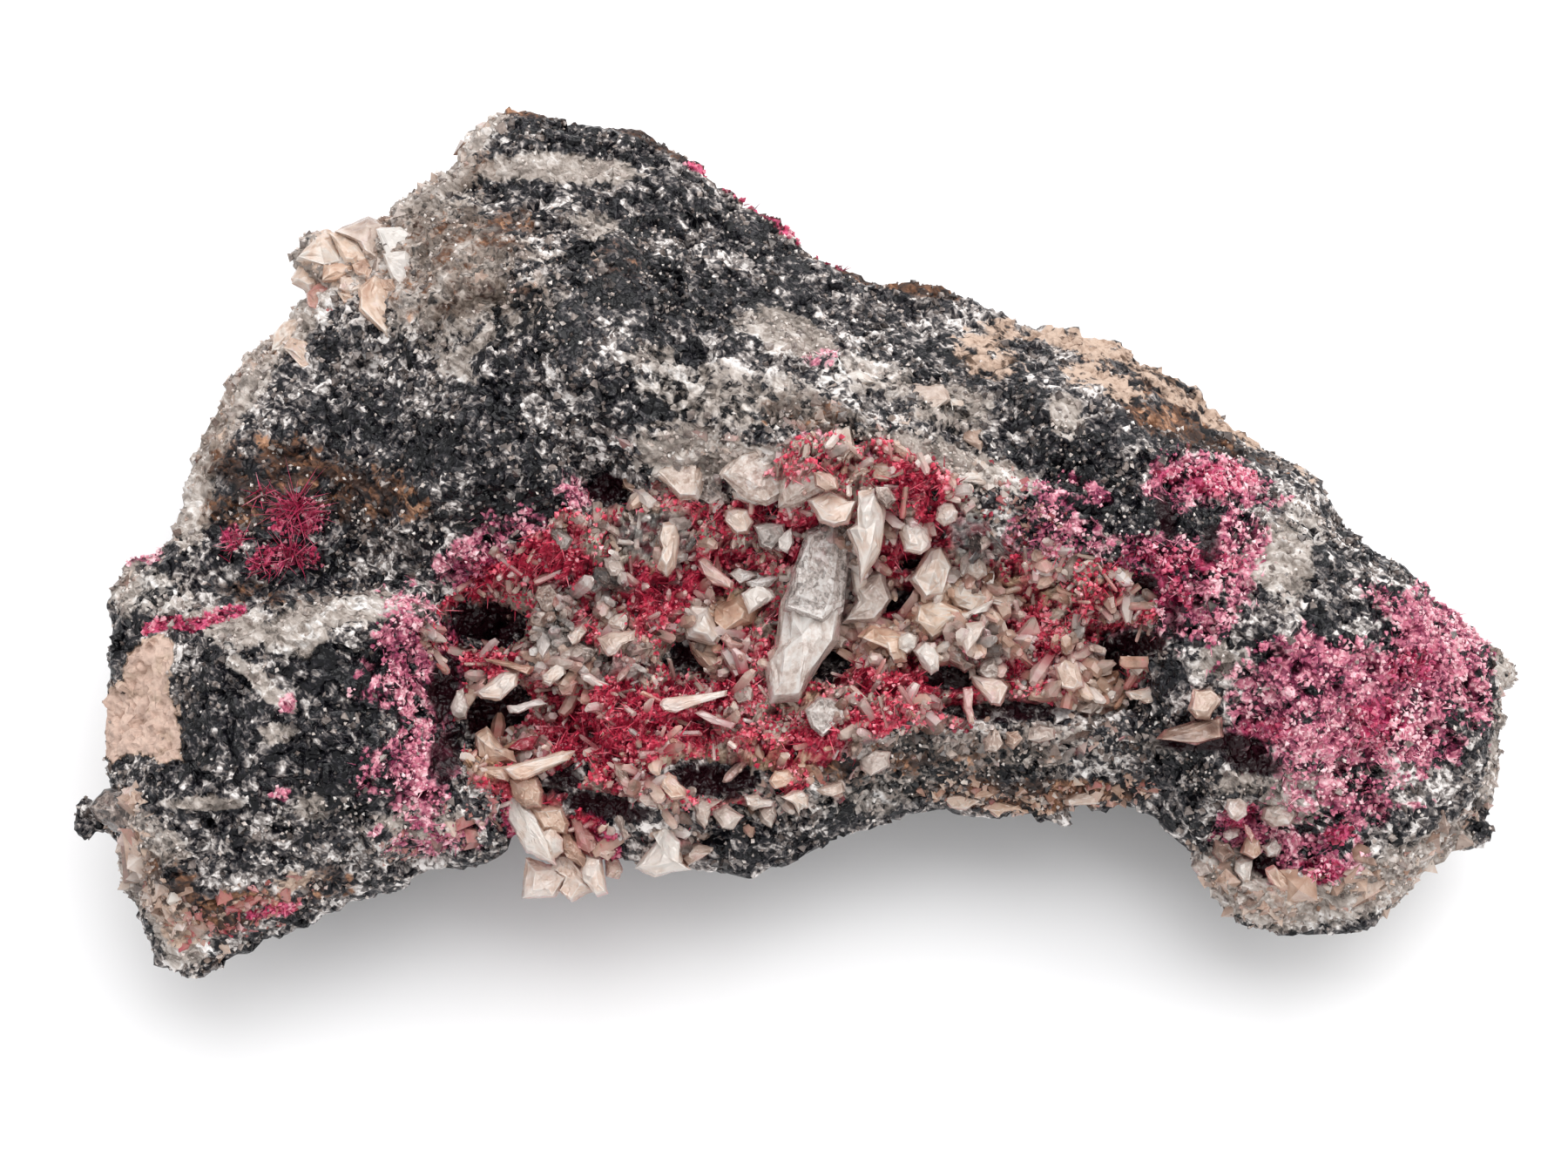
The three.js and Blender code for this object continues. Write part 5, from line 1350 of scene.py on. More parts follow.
    (1.3, 1.2, 0.62, 0.42, 0.3, 0, [9.3, -4.1, 9.9, -4.5, 10.5, -4.2, 10.4, -3.4, 9.9, -3, 9.3, -3.4]),
    (1.6, 1.6, 0.68, 1, 0, 0, [6.4, -6.9, 7.4, -8, 9.3, -6.7, 9, -6.2, 7.5, -5.6, 6.6, -5.9]),
    (1.9, 0.8, 0.8, 0.62, 0, 0, [8.3, -7.3, 9.3, -6.9, 9.6, -6.5, 10.5, -6.3, 10.8, -5.6, 9.4, -6.3,
     8.3, -6.4]),
    (1.2, 1.2, 0.55, 0.6, 0.3, 0, [10.4, -5.8, 11.7, -6.2, 12.2, -5.8, 12.1, -5.2, 11.1, -5, 10.2, -5.2]),
    (2.3, 0.7, 0.68, 0.42, 0, 0, [9.2, -7.5, 9, -8.1, 9.2, -8.7, 9.8, -8, 10.2, -7.2, 10.1, -6.9, 9.2, -7]),
    (1.2, 1.2, 0.38, 0.35, 0.1, 0, [10.1, -7.3, 10.3, -7.8, 11.1, -6.2, 10.2, -6.1, 9.5, -6.7]),
    (2.2, 1.4, 0.9, 0.68, 0, 0, [5.5, -8.5, 6, -8.8, 6.5, -8.4, 6.6, -7.8, 6.1, -7.5, 5.5, -7.8]),
    (1.9, 1.5, 0.78, 0.55, 0, 0.05, [6.8, -9.4, 7.3, -10, 7.7, -9.7, 7.8, -8.9, 7.5, -8.3, 7, -8,
     6.4, -8.6]),
    (1, 1.1, 0.34, 0.42, 0.1, 0.2, [7.9, -8.9, 9.2, -9.9, 9.8, -9.5, 9.4, -9.3, 9, -8.3, 7.8, -8.1]),
    (1.4, 1.2, 0.55, 0.3, 0.6, 0.1, [9.9, -9.8, 10.3, -10.2, 11, -10.3, 11.5, -10.1, 11.2, -9.4,
     10.8, -8.9, 10.2, -9.2]),
    (1.6, 1.1, 0.66, 0.6, 0.1, 0.2, [9.8, -10.7, 10.6, -11.7, 11.1, -11.8, 11.6, -10.7, 11.2, -10.2,
     9.5, -10]),
    (1.8, 0.7, 0.68, 0.7, 0, 0.4, [9.1, -11.9, 9.4, -12.8, 9.7, -12.8, 9.6, -11.9, 9.6, -10.7, 9.1, -10.8]),
    (1.6, 1.2, 0.66, 0.64, 0.1, 0.2, [14.4, -10.7, 15.1, -10.9, 15.7, -10.7, 15.4, -9.2, 14.6, -9,
     14.1, -9.5]),
    (1, 1.3, 0.42, 0.35, 0.1, 0.1, [15.4, -12.2, 16.1, -12.4, 16.9, -11.9, 17, -11.3, 16.4, -11,
     15.7, -11.1, 15.3, -11.6]),
    (1.6, 0.9, 0.66, 0.6, 0, 0.1, [18.2, -11.4, 18.6, -11.4, 19.1, -11.7, 19.8, -11.6, 19.9, -11.1,
     19.3, -10.7, 18, -11]),
    (1.4, 1.2, 0.56, 0.66, 0.1, 0.1, [21.1, -11.9, 21.5, -12.4, 22.2, -12.4, 23, -11.3, 22.4, -10.7,
     21.4, -10.8]),
    (1.7, 1.2, 0.36, 0.55, 0, 0.1, [21.5, -13.9, 23, -13.5, 23, -12.4, 21.6, -12.6, 19.9, -13.1,
     19.4, -13.6]),
    (1, 1.3, 0.52, 0.42, 0, 0, [10.3, -14.4, 10.9, -14.5, 11.3, -14, 11.1, -13.3, 10.8, -12.8,
     10.2, -13.8]),
    (0.9, 1.2, 0.5, 0.32, 0.1, 0, [12.5, -13.8, 13.2, -14, 14.1, -13.7, 14.1, -13.1, 13.3, -12.9,
     12.6, -13]),
    (0.8, 1.1, 0.42, 0.6, 0, 0, [11.4, -14, 11.8, -14.3, 12.4, -13.7, 12.1, -13.2, 11.3, -13.3]),
    (0.5, 1, 0.62, 0.7, 0, 0.1, [8.2, -17.5, 8.6, -18, 9.4, -18.1, 10.3, -17.5, 9.9, -17.2, 8.9, -17,
     7.5, -17.4]),
    (0.5, 1.2, 0.62, 1, 0, 0.2, [10.8, -18.2, 11.2, -18.6, 11.5, -18.3, 12.7, -18.1, 12.9, -17.7,
     11, -17.3, 10.2, -18]),
    (0.6, 0.9, 0.6, 0.55, 0.2, 0, [15, -17.8, 16.7, -17.7, 17.3, -17.2, 16.7, -17.2, 16.2, -17,
     15.5, -17.1, 14.9, -17.5]),
]
print("large crystals:", len(LARGE_CRYSTALS))

# %% Setting the large crystals
top_count = len(floor_places) // 2
floor_tops = floor_places[:top_count]
SURFACE = np.maximum(HEIGHTS, make_height_map(floor_tops))


def surface_under(x, plan_y):
    """Height of the surface at each place in plan. The y that a place in plan stands for depends
    on the height, so the two are found in turn, six times over."""
    z = np.full(len(x), VEIN_LEVEL)
    for _ in range(6):
        z = 0.4 * z + 0.6 * SURFACE[square_of(x, plan_y - (z - VEIN_LEVEL) * VEIN_LEAN)]
    return z


def hollow_ground(x, plan_y):
    """The level that the large crystals of the hollow are set by: the middle of the surface
    heights in a ring round each place, less a millimetre."""
    bearings = np.radians(np.arange(0, 360, 45))
    around = [surface_under(x + 0.8 * np.cos(t), plan_y + 0.8 * np.sin(t)) for t in bearings]
    return np.median(around, axis=0) - 1.0


rng = np.random.default_rng(7)
large_places = make_blocks(
    "large_hollow_crystals", LARGE_CRYSTALS, hollow_ground, rng, "hollow_crust", grow=1.05
)
print("highest large crystal:", round(float(large_places[:, 2].max()), 2), "mm")

# %% Small crystals
floor_open = floor_values["hole"][:top_count] < 0.3
in_red = floor_values["crimson"] - 0.7 * floor_values["grey"] - 0.5 * floor_values["warmth"]
in_red = np.clip(in_red[:top_count], 0, 1)


def small_crystals(count, lengths, widths, thin, weights, rng, lean=70):
    """Crystals at random spots of the floor, sunk by a third of their length. Short ones are
    more common: the length is drawn as low + span times a random number squared."""
    spots = floor_tops[chosen(weights, count, rng)]
    axes = leaning(outward_at(spots[:, 0], spots[:, 1]), lean, rng)
    long = lengths[0] + (lengths[1] - lengths[0]) * rng.random(len(spots)) ** 2
    wide = np.minimum(rng.uniform(*widths, len(spots)), 0.7 * long)
    feet = spots - axes * 0.33 * long[:, None]
    return crystal_arrays(feet, axes, long, wide, wide * thin, rng)


def local_looks(parts, rng):
    """Tone, warmth, frost and dust for each corner: those of the floor where its crystal
    stands, and a little at random, with the dust fading from foot to tip."""
    corner_places, _, numbers = parts
    total = numbers.max() + 1
    middles = np.zeros((total, 3))
    np.add.at(middles, numbers, corner_places / np.bincount(numbers)[numbers][:, None])
    here = lining_strengths(middles, np.zeros(total))
    tone = 0.65 + 0.08 * here["warmth"] - 0.2 * here["grey"] + rng.normal(0, 0.2, total)
    warmth = 0.42 + 0.5 * here["warmth"] - 0.4 * here["grey"] + rng.normal(0, 0.22, total)
    frost = 0.15 + 0.5 * here["grey"]
    up = (corner_places[:, 2] - middles[numbers, 2]) > 0
    dust = np.clip(0.28 + 0.85 * here["crimson"] - 0.4 * here["grey"], 0, 1)[numbers]
    dust = dust * np.where(up, 0.4, 1.0)
    looks = np.clip(np.stack([tone, warmth, frost], axis=1), 0.03, 1)[numbers]
    return np.column_stack([looks, dust])


# %% Placing the small crystals
covered = np.zeros(MAP_SHAPE)
covered[square_of(large_places[:, 0], large_places[:, 1])] = 1
beside_large = softened(covered, 10)[square_of(floor_tops[:, 0], floor_tops[:, 1])]
clustered = np.clip(0.38 + 2.2 * smooth_noise(floor_tops, 1.7, 230), 0.01, 1.6)
quartz_weights = floor_open * clustered * (0.22 + 1.6 * beside_large) * (1.06 - in_red)
small = joined([
    small_crystals(1050, (0.7, 1.9), (0.4, 0.95), 0.8, quartz_weights, rng),
    small_crystals(360, (1.3, 2.8), (0.6, 1.2), 0.75, quartz_weights, rng, lean=60),
    small_crystals(300, (0.8, 2.4), (0.2, 0.42), 0.9, floor_open * (0.2 + 0.8 * in_red), rng),
    small_crystals(2400, (0.4, 1.0), (0.25, 0.6), 0.85, quartz_weights, rng),
])
small_values = quartz_values(local_looks(small, rng))
make_piece("small_hollow_crystals", small, small_values, MILKY_QUARTZ)

# %% [markdown]
# ## Erythrite
# Erythrite is what gives the specimen its name: crimson where it is thick and rose where it is a thin crust
# of tiny blades. In the hollow it fills the ground between the crystals. On the right lobe it is a pitted
# crust. Both are made of thousands of small spikes, whose tone is painted darker at the foot and lighter at
# the tip, as shade and highlight.


# %% Finishes of erythrite
def erythrite(name, stops, transmission):
    """Glassy red: the tone of each blade and how far up it a place lies choose the colour, so that a blade
    is painted darker at its foot and lighter at its tip, as shade and highlight.
    """
    material, tree, shader, grains = new_finish(name, 0.3)
    # Painted shade and highlight: on a spike the rise runs from foot to tip, so it darkens the foot and
    # lightens the tip.
    tone = summed(tree, 0.0, (strength(tree, "tone"), 0.6), (strength(tree, "rise"), 0.45))
    tree.links.new(ramp(tree, tone, stops), shader.inputs["Base Color"])
    shader.inputs["Roughness"].default_value = 0.28
    shader.inputs["Transmission Weight"].default_value = transmission
    shader.inputs["IOR"].default_value = 1.6
    bump(tree, shader, grains.outputs["Height"], 0.02)
    return material


CRIMSON_ERYTHRITE = erythrite("crimson erythrite", [
    (0.0, 0.06, 0.001, 0.008), (0.35, 0.32, 0.008, 0.035), (0.64, 0.77, 0.06, 0.12),
    (0.95, 0.95, 0.45, 0.5),
], 0.1)
MAGENTA_ERYTHRITE = erythrite("magenta erythrite", [
    (0.0, 0.05, 0.001, 0.01), (0.35, 0.3, 0.008, 0.045), (0.62, 0.68, 0.06, 0.16),
    (0.9, 0.92, 0.44, 0.52),
], 0.25)
ROSE_ERYTHRITE = erythrite("rose erythrite", [
    (0.0, 0.06, 0.004, 0.018), (0.3, 0.32, 0.035, 0.11), (0.56, 0.72, 0.21, 0.31),
    (0.85, 0.95, 0.64, 0.68),
], 0.15)
print("finishes so far:", len(bpy.data.materials))


# %% Spikes
def spike_values(parts, tones):
    """The tone of each spike, and how far up it each corner lies: 0 at the foot, 1 at the tip."""
    rise = np.tile([0.0, 0.0, 0.0, 1.0], len(parts[0]) // 4)
    return {"tone": tones[parts[2]], "rise": rise}


def spikes(spots, outward, lengths, widths, lean, rng):
    """Spikes at given spots, leaning off the outward directions, sunk by a tenth."""
    axes = leaning(outward, lean, rng)
    long = lengths[0] + (lengths[1] - lengths[0]) * rng.random(len(spots)) ** 2
    wide = rng.uniform(*widths, len(spots))
    return needle_arrays(spots - 0.1 * axes * long[:, None], axes, long, wide, rng)


# %% Crusts
def uneven_tones(spots, rng):
    """Tones that drift over a millimetre or so and vary a little from one spike to the next."""
    drift = 0.7 * smooth_noise(spots, 0.9, 130) + 0.5 * smooth_noise(spots, 2.4, 140)
    return np.clip(0.5 + drift + rng.normal(0, 0.2, len(spots)), 0, 1)


SLIP = 0.16  # how far a grain may stand from its vertex, in mm


def crust(spots, outward, sizes, rng, sunk=0.0):
    """A crust of grains and short spikes: every third spot carries a spike, and the others a chip. Spots
    slip along the face, off the rows of the mesh. The sunk amount is painted shade that darkens each spot's
    tone, and a negative amount is a painted highlight that lightens it. Returns the arrays and their
    values."""
    slip = rng.uniform(-SLIP, SLIP, spots.shape)
    spots = spots + slip - outward * np.sum(slip * outward, axis=1)[:, None]
    spiky = np.arange(len(spots)) % 3 == 0
    # Painted shade and highlight: the sunk amount lowers the tone.
    tones = np.clip(uneven_tones(spots, rng) - sunk, 0, 1)
    thorns = spikes(spots[spiky], outward[spiky], (1.2 * sizes[0], 3.2 * sizes[1]), (0.07, 0.16), 80, rng)
    low = spots[~spiky] - 0.02 * outward[~spiky]
    grains = chip_arrays(low, leaning(outward[~spiky], 90, rng), rng.uniform(*sizes, len(low)), rng)
    rise = np.concatenate([spike_values(thorns, tones[spiky])["rise"], rng.random(len(grains[0]))])
    whole = joined([thorns, grains])
    return whole, {"tone": np.concatenate([tones[spiky], tones[~spiky]])[whole[2]], "rise": rise}


# %% Erythrite in the hollow
floor_low = floor_values["low"][:top_count]
picked = chosen(floor_open * (1 - 0.8 * floor_low) * np.clip(in_red - 0.1, 0, 1), 20000, rng)
roots = floor_tops[picked]
outward = outward_at(roots[:, 0], roots[:, 1])
# Painted shade: grains in the low parts of the floor are darker.
red_crust, red_values = crust(roots, outward, (0.09, 0.24), rng, 0.5 * floor_low[picked])
make_piece("hollow_erythrite", red_crust, red_values, CRIMSON_ERYTHRITE)
BLADE_CEILING = 21.4  # blades rooted above this height, in mm, would stand out of the solid's box
below_top = floor_tops[:, 2] < BLADE_CEILING
roots = floor_tops[chosen(floor_open * below_top * np.clip(in_red - 0.3, 0, 1), 2600, rng)]
blades = spikes(roots, outward_at(roots[:, 0], roots[:, 1]), (0.5, 1.4), (0.09, 0.2), 80, rng)
blade_values = spike_values(blades, rng.uniform(0, 0.8, len(roots)))
make_piece("hollow_blades", blades, blade_values, CRIMSON_ERYTHRITE)

# %% Rose crust on the rock
normal_of = outward_at(rock_places[:, 0], rock_places[:, 1])
on_face = facing_up & (rock_values["hole"] < 0.3)
patchy = 0.5 * smooth_noise(rock_places, 0.8, 150) + 0.4 * smooth_noise(rock_places, 2.0, 160)
rosy = (rock_values["rose"] > 0.2) * np.clip(rock_values["rose"] - 0.35 + patchy, 0, 1)
picked = chosen(on_face * rosy, 17000, rng)
painted_relief_light = 1.5 * (ledges + sugar)[picked]  # painted highlight and shade: grains on crests of the rock's fine relief are lighter, and in its hollows darker
rose, rose_values = crust(rock_places[picked], normal_of[picked], (0.08, 0.24), rng, -painted_relief_light)
make_piece("rose_crust", rose, rose_values, ROSE_ERYTHRITE)
reds = (rock_values["crimson"] > 0.2) * np.clip(rock_values["crimson"] - 0.35 + patchy, 0, 1)
picked = chosen(on_face * reds, 3600, rng)
deep, deep_values = crust(rock_places[picked], normal_of[picked], (0.09, 0.26), rng)
make_piece("crimson_patches", deep, deep_values, MAGENTA_ERYTHRITE)

# %% [markdown]
# ## Needle sprays
# In the brown hollow at the upper left, needles up to three millimetres long fan out from a few
# centres. A fan is a set of directions spread evenly round its centre by the golden angle, which
# never lines up with itself.

# %% Needle sprays
# Each is (x, y, number of needles, longest needle, height over the rock), in mm.
SPRAYS = [
    (-27.9, -0.2, 52, 2.8, 0.2), (-27.5, -1.2, 20, 1.8, 0.1), (-28, -3, 40, 2.4, 0.2),
    (-31.3, -2.2, 34, 1.2, 0.1), (-29.9, 0.5, 16, 1.5, 0.1), (-29.7, -3.6, 30, 1.3, 0.1),
]


def spray(x, y, count, longest, lift, rng):
    """A fan of needles: the tilt grows from 20 to 86 degrees with the square root of the
    needle's share, and the bearing turns by the golden angle from one to the next."""
    share = (np.arange(count) + 0.5) / count
    tilt = np.radians(20 + 66 * np.sqrt(share))
    bearing = np.pi * (3 - math.sqrt(5)) * np.arange(count) + rng.normal(0, 0.15, count)
    axes = np.stack([np.sin(tilt) * np.cos(bearing), np.sin(tilt) * np.sin(bearing), np.cos(tilt)], axis=1)
    root = np.array([x, y, height_at(np.array([x]), np.array([y]))[0] + lift])
    roots = root + 0.3 * rng.normal(0, 1, (count, 3)) * [1, 1, 0.3]
    lengths = longest * rng.uniform(0.45, 1, count)
    return needle_arrays(roots, axes, lengths, rng.uniform(0.07, 0.15, count), rng)


fans = joined([spray(*row, rng) for row in SPRAYS])
fan_values = spike_values(fans, rng.uniform(0, 0.85, fans[2].max() + 1))
make_piece(
    "needle_sprays", fans, fan_values, MAGENTA_ERYTHRITE, ["erythrite_needle_spray"]
)

# %% [markdown]
# ## The clusters at the front
# A bunch of cream quartz points hangs over the front rim, and a small pocket at the lower right
# holds a few more. The bunch slopes down towards the front, so its blocks are set by a sloping
# plane and not by the rock.

# %% Front cluster
CLUSTER_CRYSTALS = [
    (1.8, 1.4, 0.52, 0.74, 0, 0.1, [-15.5, -17.1, -14.8, -17.6, -14.1, -17.5, -14, -16.8, -14.3, -16.1,
     -14.9, -15.7, -15.8, -16]),
    (1.7, 1.6, 0.8, 0.52, 0, 0, [-15.8, -18.4, -14.8, -20.1, -13.4, -20.7, -13.6, -19.8, -14.4, -18.2,
     -15.3, -17, -15.7, -17.1]),
    (1.2, 1.8, 0.58, 0.78, 0, 0.1, [-14, -19.2, -12.8, -19.2, -12.7, -18.7, -13, -17.9, -13.9, -17.6,
     -14.8, -17.6]),
    (2.1, 1.2, 0.76, 0.56, 0, 0, [-14, -19.6, -13.5, -20.7, -12.9, -20.2, -12.9, -19.6, -13.5, -19,
     -14, -19.2]),
    (0.9, 1.4, 0.42, 0.72, 0, 0.1, [-13, -20.2, -12.6, -20.7, -11.7, -21.3, -11.6, -20.8, -12.5, -19.4,
     -12.9, -19.2]),
    (1.3, 1.6, 0.72, 0.48, 0.15, 0, [-15, -23, -13.4, -22.9, -12.8, -21.9, -13.4, -21.4, -14.8, -21]),
    (1, 1.6, 0.66, 0.52, 0.1, 0, [-12.7, -22, -13, -22.6, -12.4, -23.1, -11.2, -22.5, -12.6, -20.7,
     -13.1, -20.7, -13.5, -21.3]),
    (1.5, 1.4, 0.78, 0.56, 0, 0, [-11.8, -21.6, -11.7, -22, -11, -22.8, -10.5, -22.6, -10.9, -20.9,
     -11.6, -20.7]),
    (0.8, 1.2, 0.52, 0.58, 0, 0.5, [-12, -20.2, -11.4, -20.5, -11, -20.1, -11.2, -19.5, -11.7, -18.9,
     -12, -18.2, -12.5, -18.4]),
    (0.9, 1.1, 0.55, 0.52, 0.1, 0.2, [-10.9, -20.6, -10.4, -20.9, -10, -20.4, -10.4, -19.8, -11, -19.9]),
    (0.5, 1.1, 0.6, 0.5, 0.1, 0.1, [-10.5, -21.9, -9.9, -22, -9.7, -21.6, -9.9, -21.1, -10.6, -20.8]),
]


def cluster_ground(x, plan_y):
    """The plane under the front bunch, the same for every x: 11.3 mm high at its root, and down
    by 0.41 mm for every millimetre forward."""
    return 11.3 + 0.41 * (plan_y + 15.7)


make_blocks(
    "front_cluster", CLUSTER_CRYSTALS, cluster_ground, rng, "quartz", ["front_quartz_cluster"],
    warmer=0.05, rounds=3, grow=1.2, stain=0.5,
)

# %% Front pocket
POCKET_CRYSTALS = [
    (0.6, 1.2, 0.68, 0.35, 0.4, 0, [23.3, -17.7, 23.6, -18.3, 24, -18.5, 24.5, -18.1, 24.7, -17.5,
     24.2, -17, 23.5, -17.2]),
    (0.6, 1.3, 0.6, 0.35, 0.3, 0.1, [25.4, -18.4, 26, -18.9, 26.9, -18.8, 27.4, -18.1, 27.2, -17.5,
     26.3, -17.3, 25.6, -17.8]),
    (0.6, 0.9, 0.78, 0.6, 0, 0.1, [23.5, -19.6, 23.8, -19.8, 24.4, -19.5, 24.5, -19.1, 23.9, -19,
     23.5, -19.3]),
    (1.2, 0.6, 0.68, 0.7, 0, 0.5, [24.6, -19.3, 24.9, -19.8, 25.1, -19.4, 24.7, -18.7, 24.5, -18.7]),
    (0.8, 1, 0.76, 0.58, 0, 0, [24.2, -21.6, 24.6, -22.2, 25, -22.2, 25.3, -20.9, 24.7, -20.7, 24.2, -21]),
    (0.5, 1.2, 0.6, 0.95, 0, 0.2, [24.5, -20.5, 25.2, -20.9, 25.7, -20.6, 25.6, -19.6, 24.8, -19.5]),
    (0.6, 1.1, 0.66, 0.25, 0.4, 0.1, [25.9, -20.7, 26.5, -20.8, 26.8, -20.2, 26.4, -19.6, 25.7, -20.1]),
    (0.7, 0.8, 0.62, 0.8, 0, 0.3, [25.7, -21.4, 26.1, -22.3, 26.7, -22.9, 27.1, -22.5, 26.8, -21.8,
     26.2, -21.1]),
    (0.4, 1.2, 0.38, 0.5, 0.1, 0.1, [23, -20.6, 23.5, -21.1, 24.3, -20.6, 23.9, -19.9, 23.1, -19.6]),
    (0.5, 1, 0.5, 0.25, 0.6, 0.1, [21.9, -21.4, 22.3, -22, 23.1, -21.8, 22.9, -21.1, 22.1, -20.8]),
]


def rock_ground(x, plan_y):
    """The rock's height under a place in plan, less half a millimetre."""
    return surface_under(x, plan_y) - 0.5


make_blocks(
    "pocket_crystals", POCKET_CRYSTALS, rock_ground, rng, "pocket_crust",
    ["front_pocket_crystal_crust"],
)

# %% [markdown]
# ## Quartz along the edges
# The vein's quartz also shows where the rock breaks off: in blocks on the knob at the left and
# behind the hollow, and as thousands of flat chips along the edges. A block is drawn by its own
# outline, as in the hollow. Chips need only a line to crowd along.


# %% Quartz on the rims
def rim_ground(x, plan_y):
    """The level for the blocks of the rims: that of the hollow's blocks, a little lower so that
    they merge with the rock."""
    return hollow_ground(x, plan_y) - 0.05


# %% Outlines of the blocks on the rims
KNOB_CRYSTALS = [
    (0.4, 1.6, 0.64, 0.62, 0, 0.05, [-29.1, 13.9, -28.1, 13.3, -27.6, 13.5, -27.2, 14.9, -28.7, 15.4,
     -29.2, 14.2]),
    (0.5, 1.6, 0.7, 0.58, 0, 0, [-27.2, 14.9, -26.3, 15.1, -26.8, 16.7, -27.4, 17.1, -28, 16.9, -28, 16.4,
     -28.7, 15.4]),
    (0.6, 1.4, 0.66, 0.74, 0, 0, [-26, 14.8, -25.3, 14.7, -24.8, 15.2, -25.3, 16.2, -26.1, 16.8,
     -26.8, 16.7]),
    (0.6, 1.2, 0.56, 0.82, 0, 0.05, [-27.2, 13.9, -26.5, 13.9, -25.7, 14.2, -25.5, 14.8, -26.3, 14.9,
     -27.1, 14.8]),
    (0.6, 1.1, 0.5, 0.72, 0, 0.1, [-25.2, 14.1, -24.5, 13.9, -24.3, 14.5, -24.8, 15.1, -25.5, 14.8]),
    (0.5, 1.2, 0.6, 0.52, 0, 0.1, [-26.1, 13.3, -25.4, 12.8, -24.7, 13.1, -24.7, 13.8, -25.2, 14.1,
     -26, 13.9]),
    (0.4, 1.2, 0.5, 0.62, 0, 0.5, [-28.2, 13.1, -28, 12.3, -27.5, 12, -26.6, 12, -26.4, 13.1, -27, 13.8,
     -27.6, 13.8]),
    (0.5, 1, 0.58, 0.76, 0, 0.1, [-25.8, 12.4, -25.1, 12.2, -24.8, 12.7, -25.3, 13, -26.1, 13]),
    (0.6, 1.3, 0.6, 0.72, 0, 0.05, [-24.6, 11.9, -23.1, 10.1, -22.6, 10.6, -23.2, 13.5, -24, 13.8,
     -24.7, 13]),
    (0.6, 1, 0.5, 0.66, 0, 0.1, [-23.6, 13.1, -23, 12.7, -22.7, 13, -23, 13.7, -23.7, 13.8]),
    (0.4, 1.3, 0.66, 0.55, 0, 0, [-30, 9.6, -29.5, 9.6, -28.8, 10.1, -28.4, 10.9, -28.8, 11.5,
     -29.6, 11.3, -30, 10.6]),
    (0.4, 1.2, 0.6, 0.62, 0, 0.15, [-29.2, 9.6, -28.2, 8.5, -27.4, 8.2, -26.8, 8.7, -27.5, 9.6, -28.1, 10,
     -28.8, 10.1]),
    (0.6, 1, 0.88, 0.25, 0.2, 0, [-23.3, 15.1, -22.8, 15.3, -22.1, 16.6, -22.9, 17.1, -24, 16.9]),
    (0.5, 1.3, 0.55, 0.38, 0.1, 0, [-26.4, 16.9, -25.3, 16.3, -24.8, 15.3, -24, 14.9, -23.5, 15.5,
     -24.1, 17.4, -24.9, 17.8]),
    (0.6, 0.9, 0.84, 0.25, 0.3, 0, [-22.9, 13.9, -22.1, 13.1, -21.2, 13.8, -21.5, 14.5, -22.3, 15.3,
     -23.3, 15.1]),
]
EDGE_CRYSTALS = [
    (0.4, 1.4, 0.6, 0.4, 0.5, 0, [-7.6, 1.9, -6.4, 0.6, -5.6, 0.6, -5.1, 2.2, -5.4, 3.1, -6.1, 3.8,
     -7.2, 3.1]),
    (0.5, 1.2, 0.5, 0.15, 0.8, 0, [-5.5, 0.4, -4.8, 0, -3.9, 0.2, -3.9, 1, -4.6, 1.7, -5.1, 1.3]),
    (0.4, 1.5, 0.64, 0.3, 0.6, 0, [-3.8, 1.7, -2.7, 0.6, -1.7, 0.2, 0.3, 1.5, 0.3, 3, -1.7, 3.1, -3, 2.7]),
    (0.3, 1.2, 0.38, 0.6, 0, 0.1, [-9.5, 1, -8.7, 0.5, -8, 0.5, -7.8, 1.5, -9.8, 2.1]),
    (0.4, 1.5, 0.62, 0.3, 0.5, 0, [-0.7, 0, 0, 0, 2.2, 1, 2, 1.7, 1, 1.9, -0.7, 1.8]),
    (0.6, 1.1, 0.6, 0.45, 0, 0, [1.9, 2.7, 2.5, 2.5, 3, 3.1, 2.8, 4.3, 2, 4.1]),
    (0.5, 1, 0.5, 0.5, 0, 0.1, [3, 1.5, 3.9, 1.8, 4.7, 2.7, 3.7, 2.9, 2.8, 2.1]),
    (0.6, 1.1, 0.62, 0.65, 0, 0.2, [4.2, 1.4, 4.9, 1.3, 6.1, 1.8, 6.6, 2.2, 5.9, 2.5, 4.7, 2.5, 4.1, 2.1]),
    (0.5, 0.9, 0.72, 0.5, 0, 0, [8.6, 5.4, 9.1, 4.9, 9.9, 5, 9.6, 6.1, 8.5, 6.1]),
    (0.4, 1, 0.45, 0.5, 0, 0, [9.2, 3.7, 10.1, 3, 10.8, 3.7, 10.2, 4.4, 9.1, 4.7]),
    (0.4, 1.2, 0.7, 0.35, 0.4, 0, [8.1, 1.9, 8.6, 1.3, 10.3, 1, 11.5, 1.3, 11, 2.2, 9.6, 2.6, 8.3, 2.5]),
    (0.4, 1, 0.6, 0.4, 0.1, 0, [5.9, 6.3, 6.2, 5.5, 7.2, 5.2, 8.2, 6.1, 7.9, 6.9, 6.2, 6.9]),
    (0.4, 0.9, 0.76, 0.35, 0.1, 0, [2.4, 7, 3, 6.7, 4.1, 7.1, 3.4, 7.7, 2.4, 7.5]),
]
SPUR = (0.7, 1.9, 0.24, 0.2, 0.8, 0, [-38.7, -17.7, -38.3, -18.4, -37.2, -19.2, -35.8, -19.4,
     -35.4, -17.2, -36.6, -16.7, -37.9, -17])
rim_rows = KNOB_CRYSTALS + EDGE_CRYSTALS + [SPUR]
make_blocks("rim_quartz", rim_rows, rim_ground, rng, "rock", warmer=0.12, grow=1.25, stain=0)

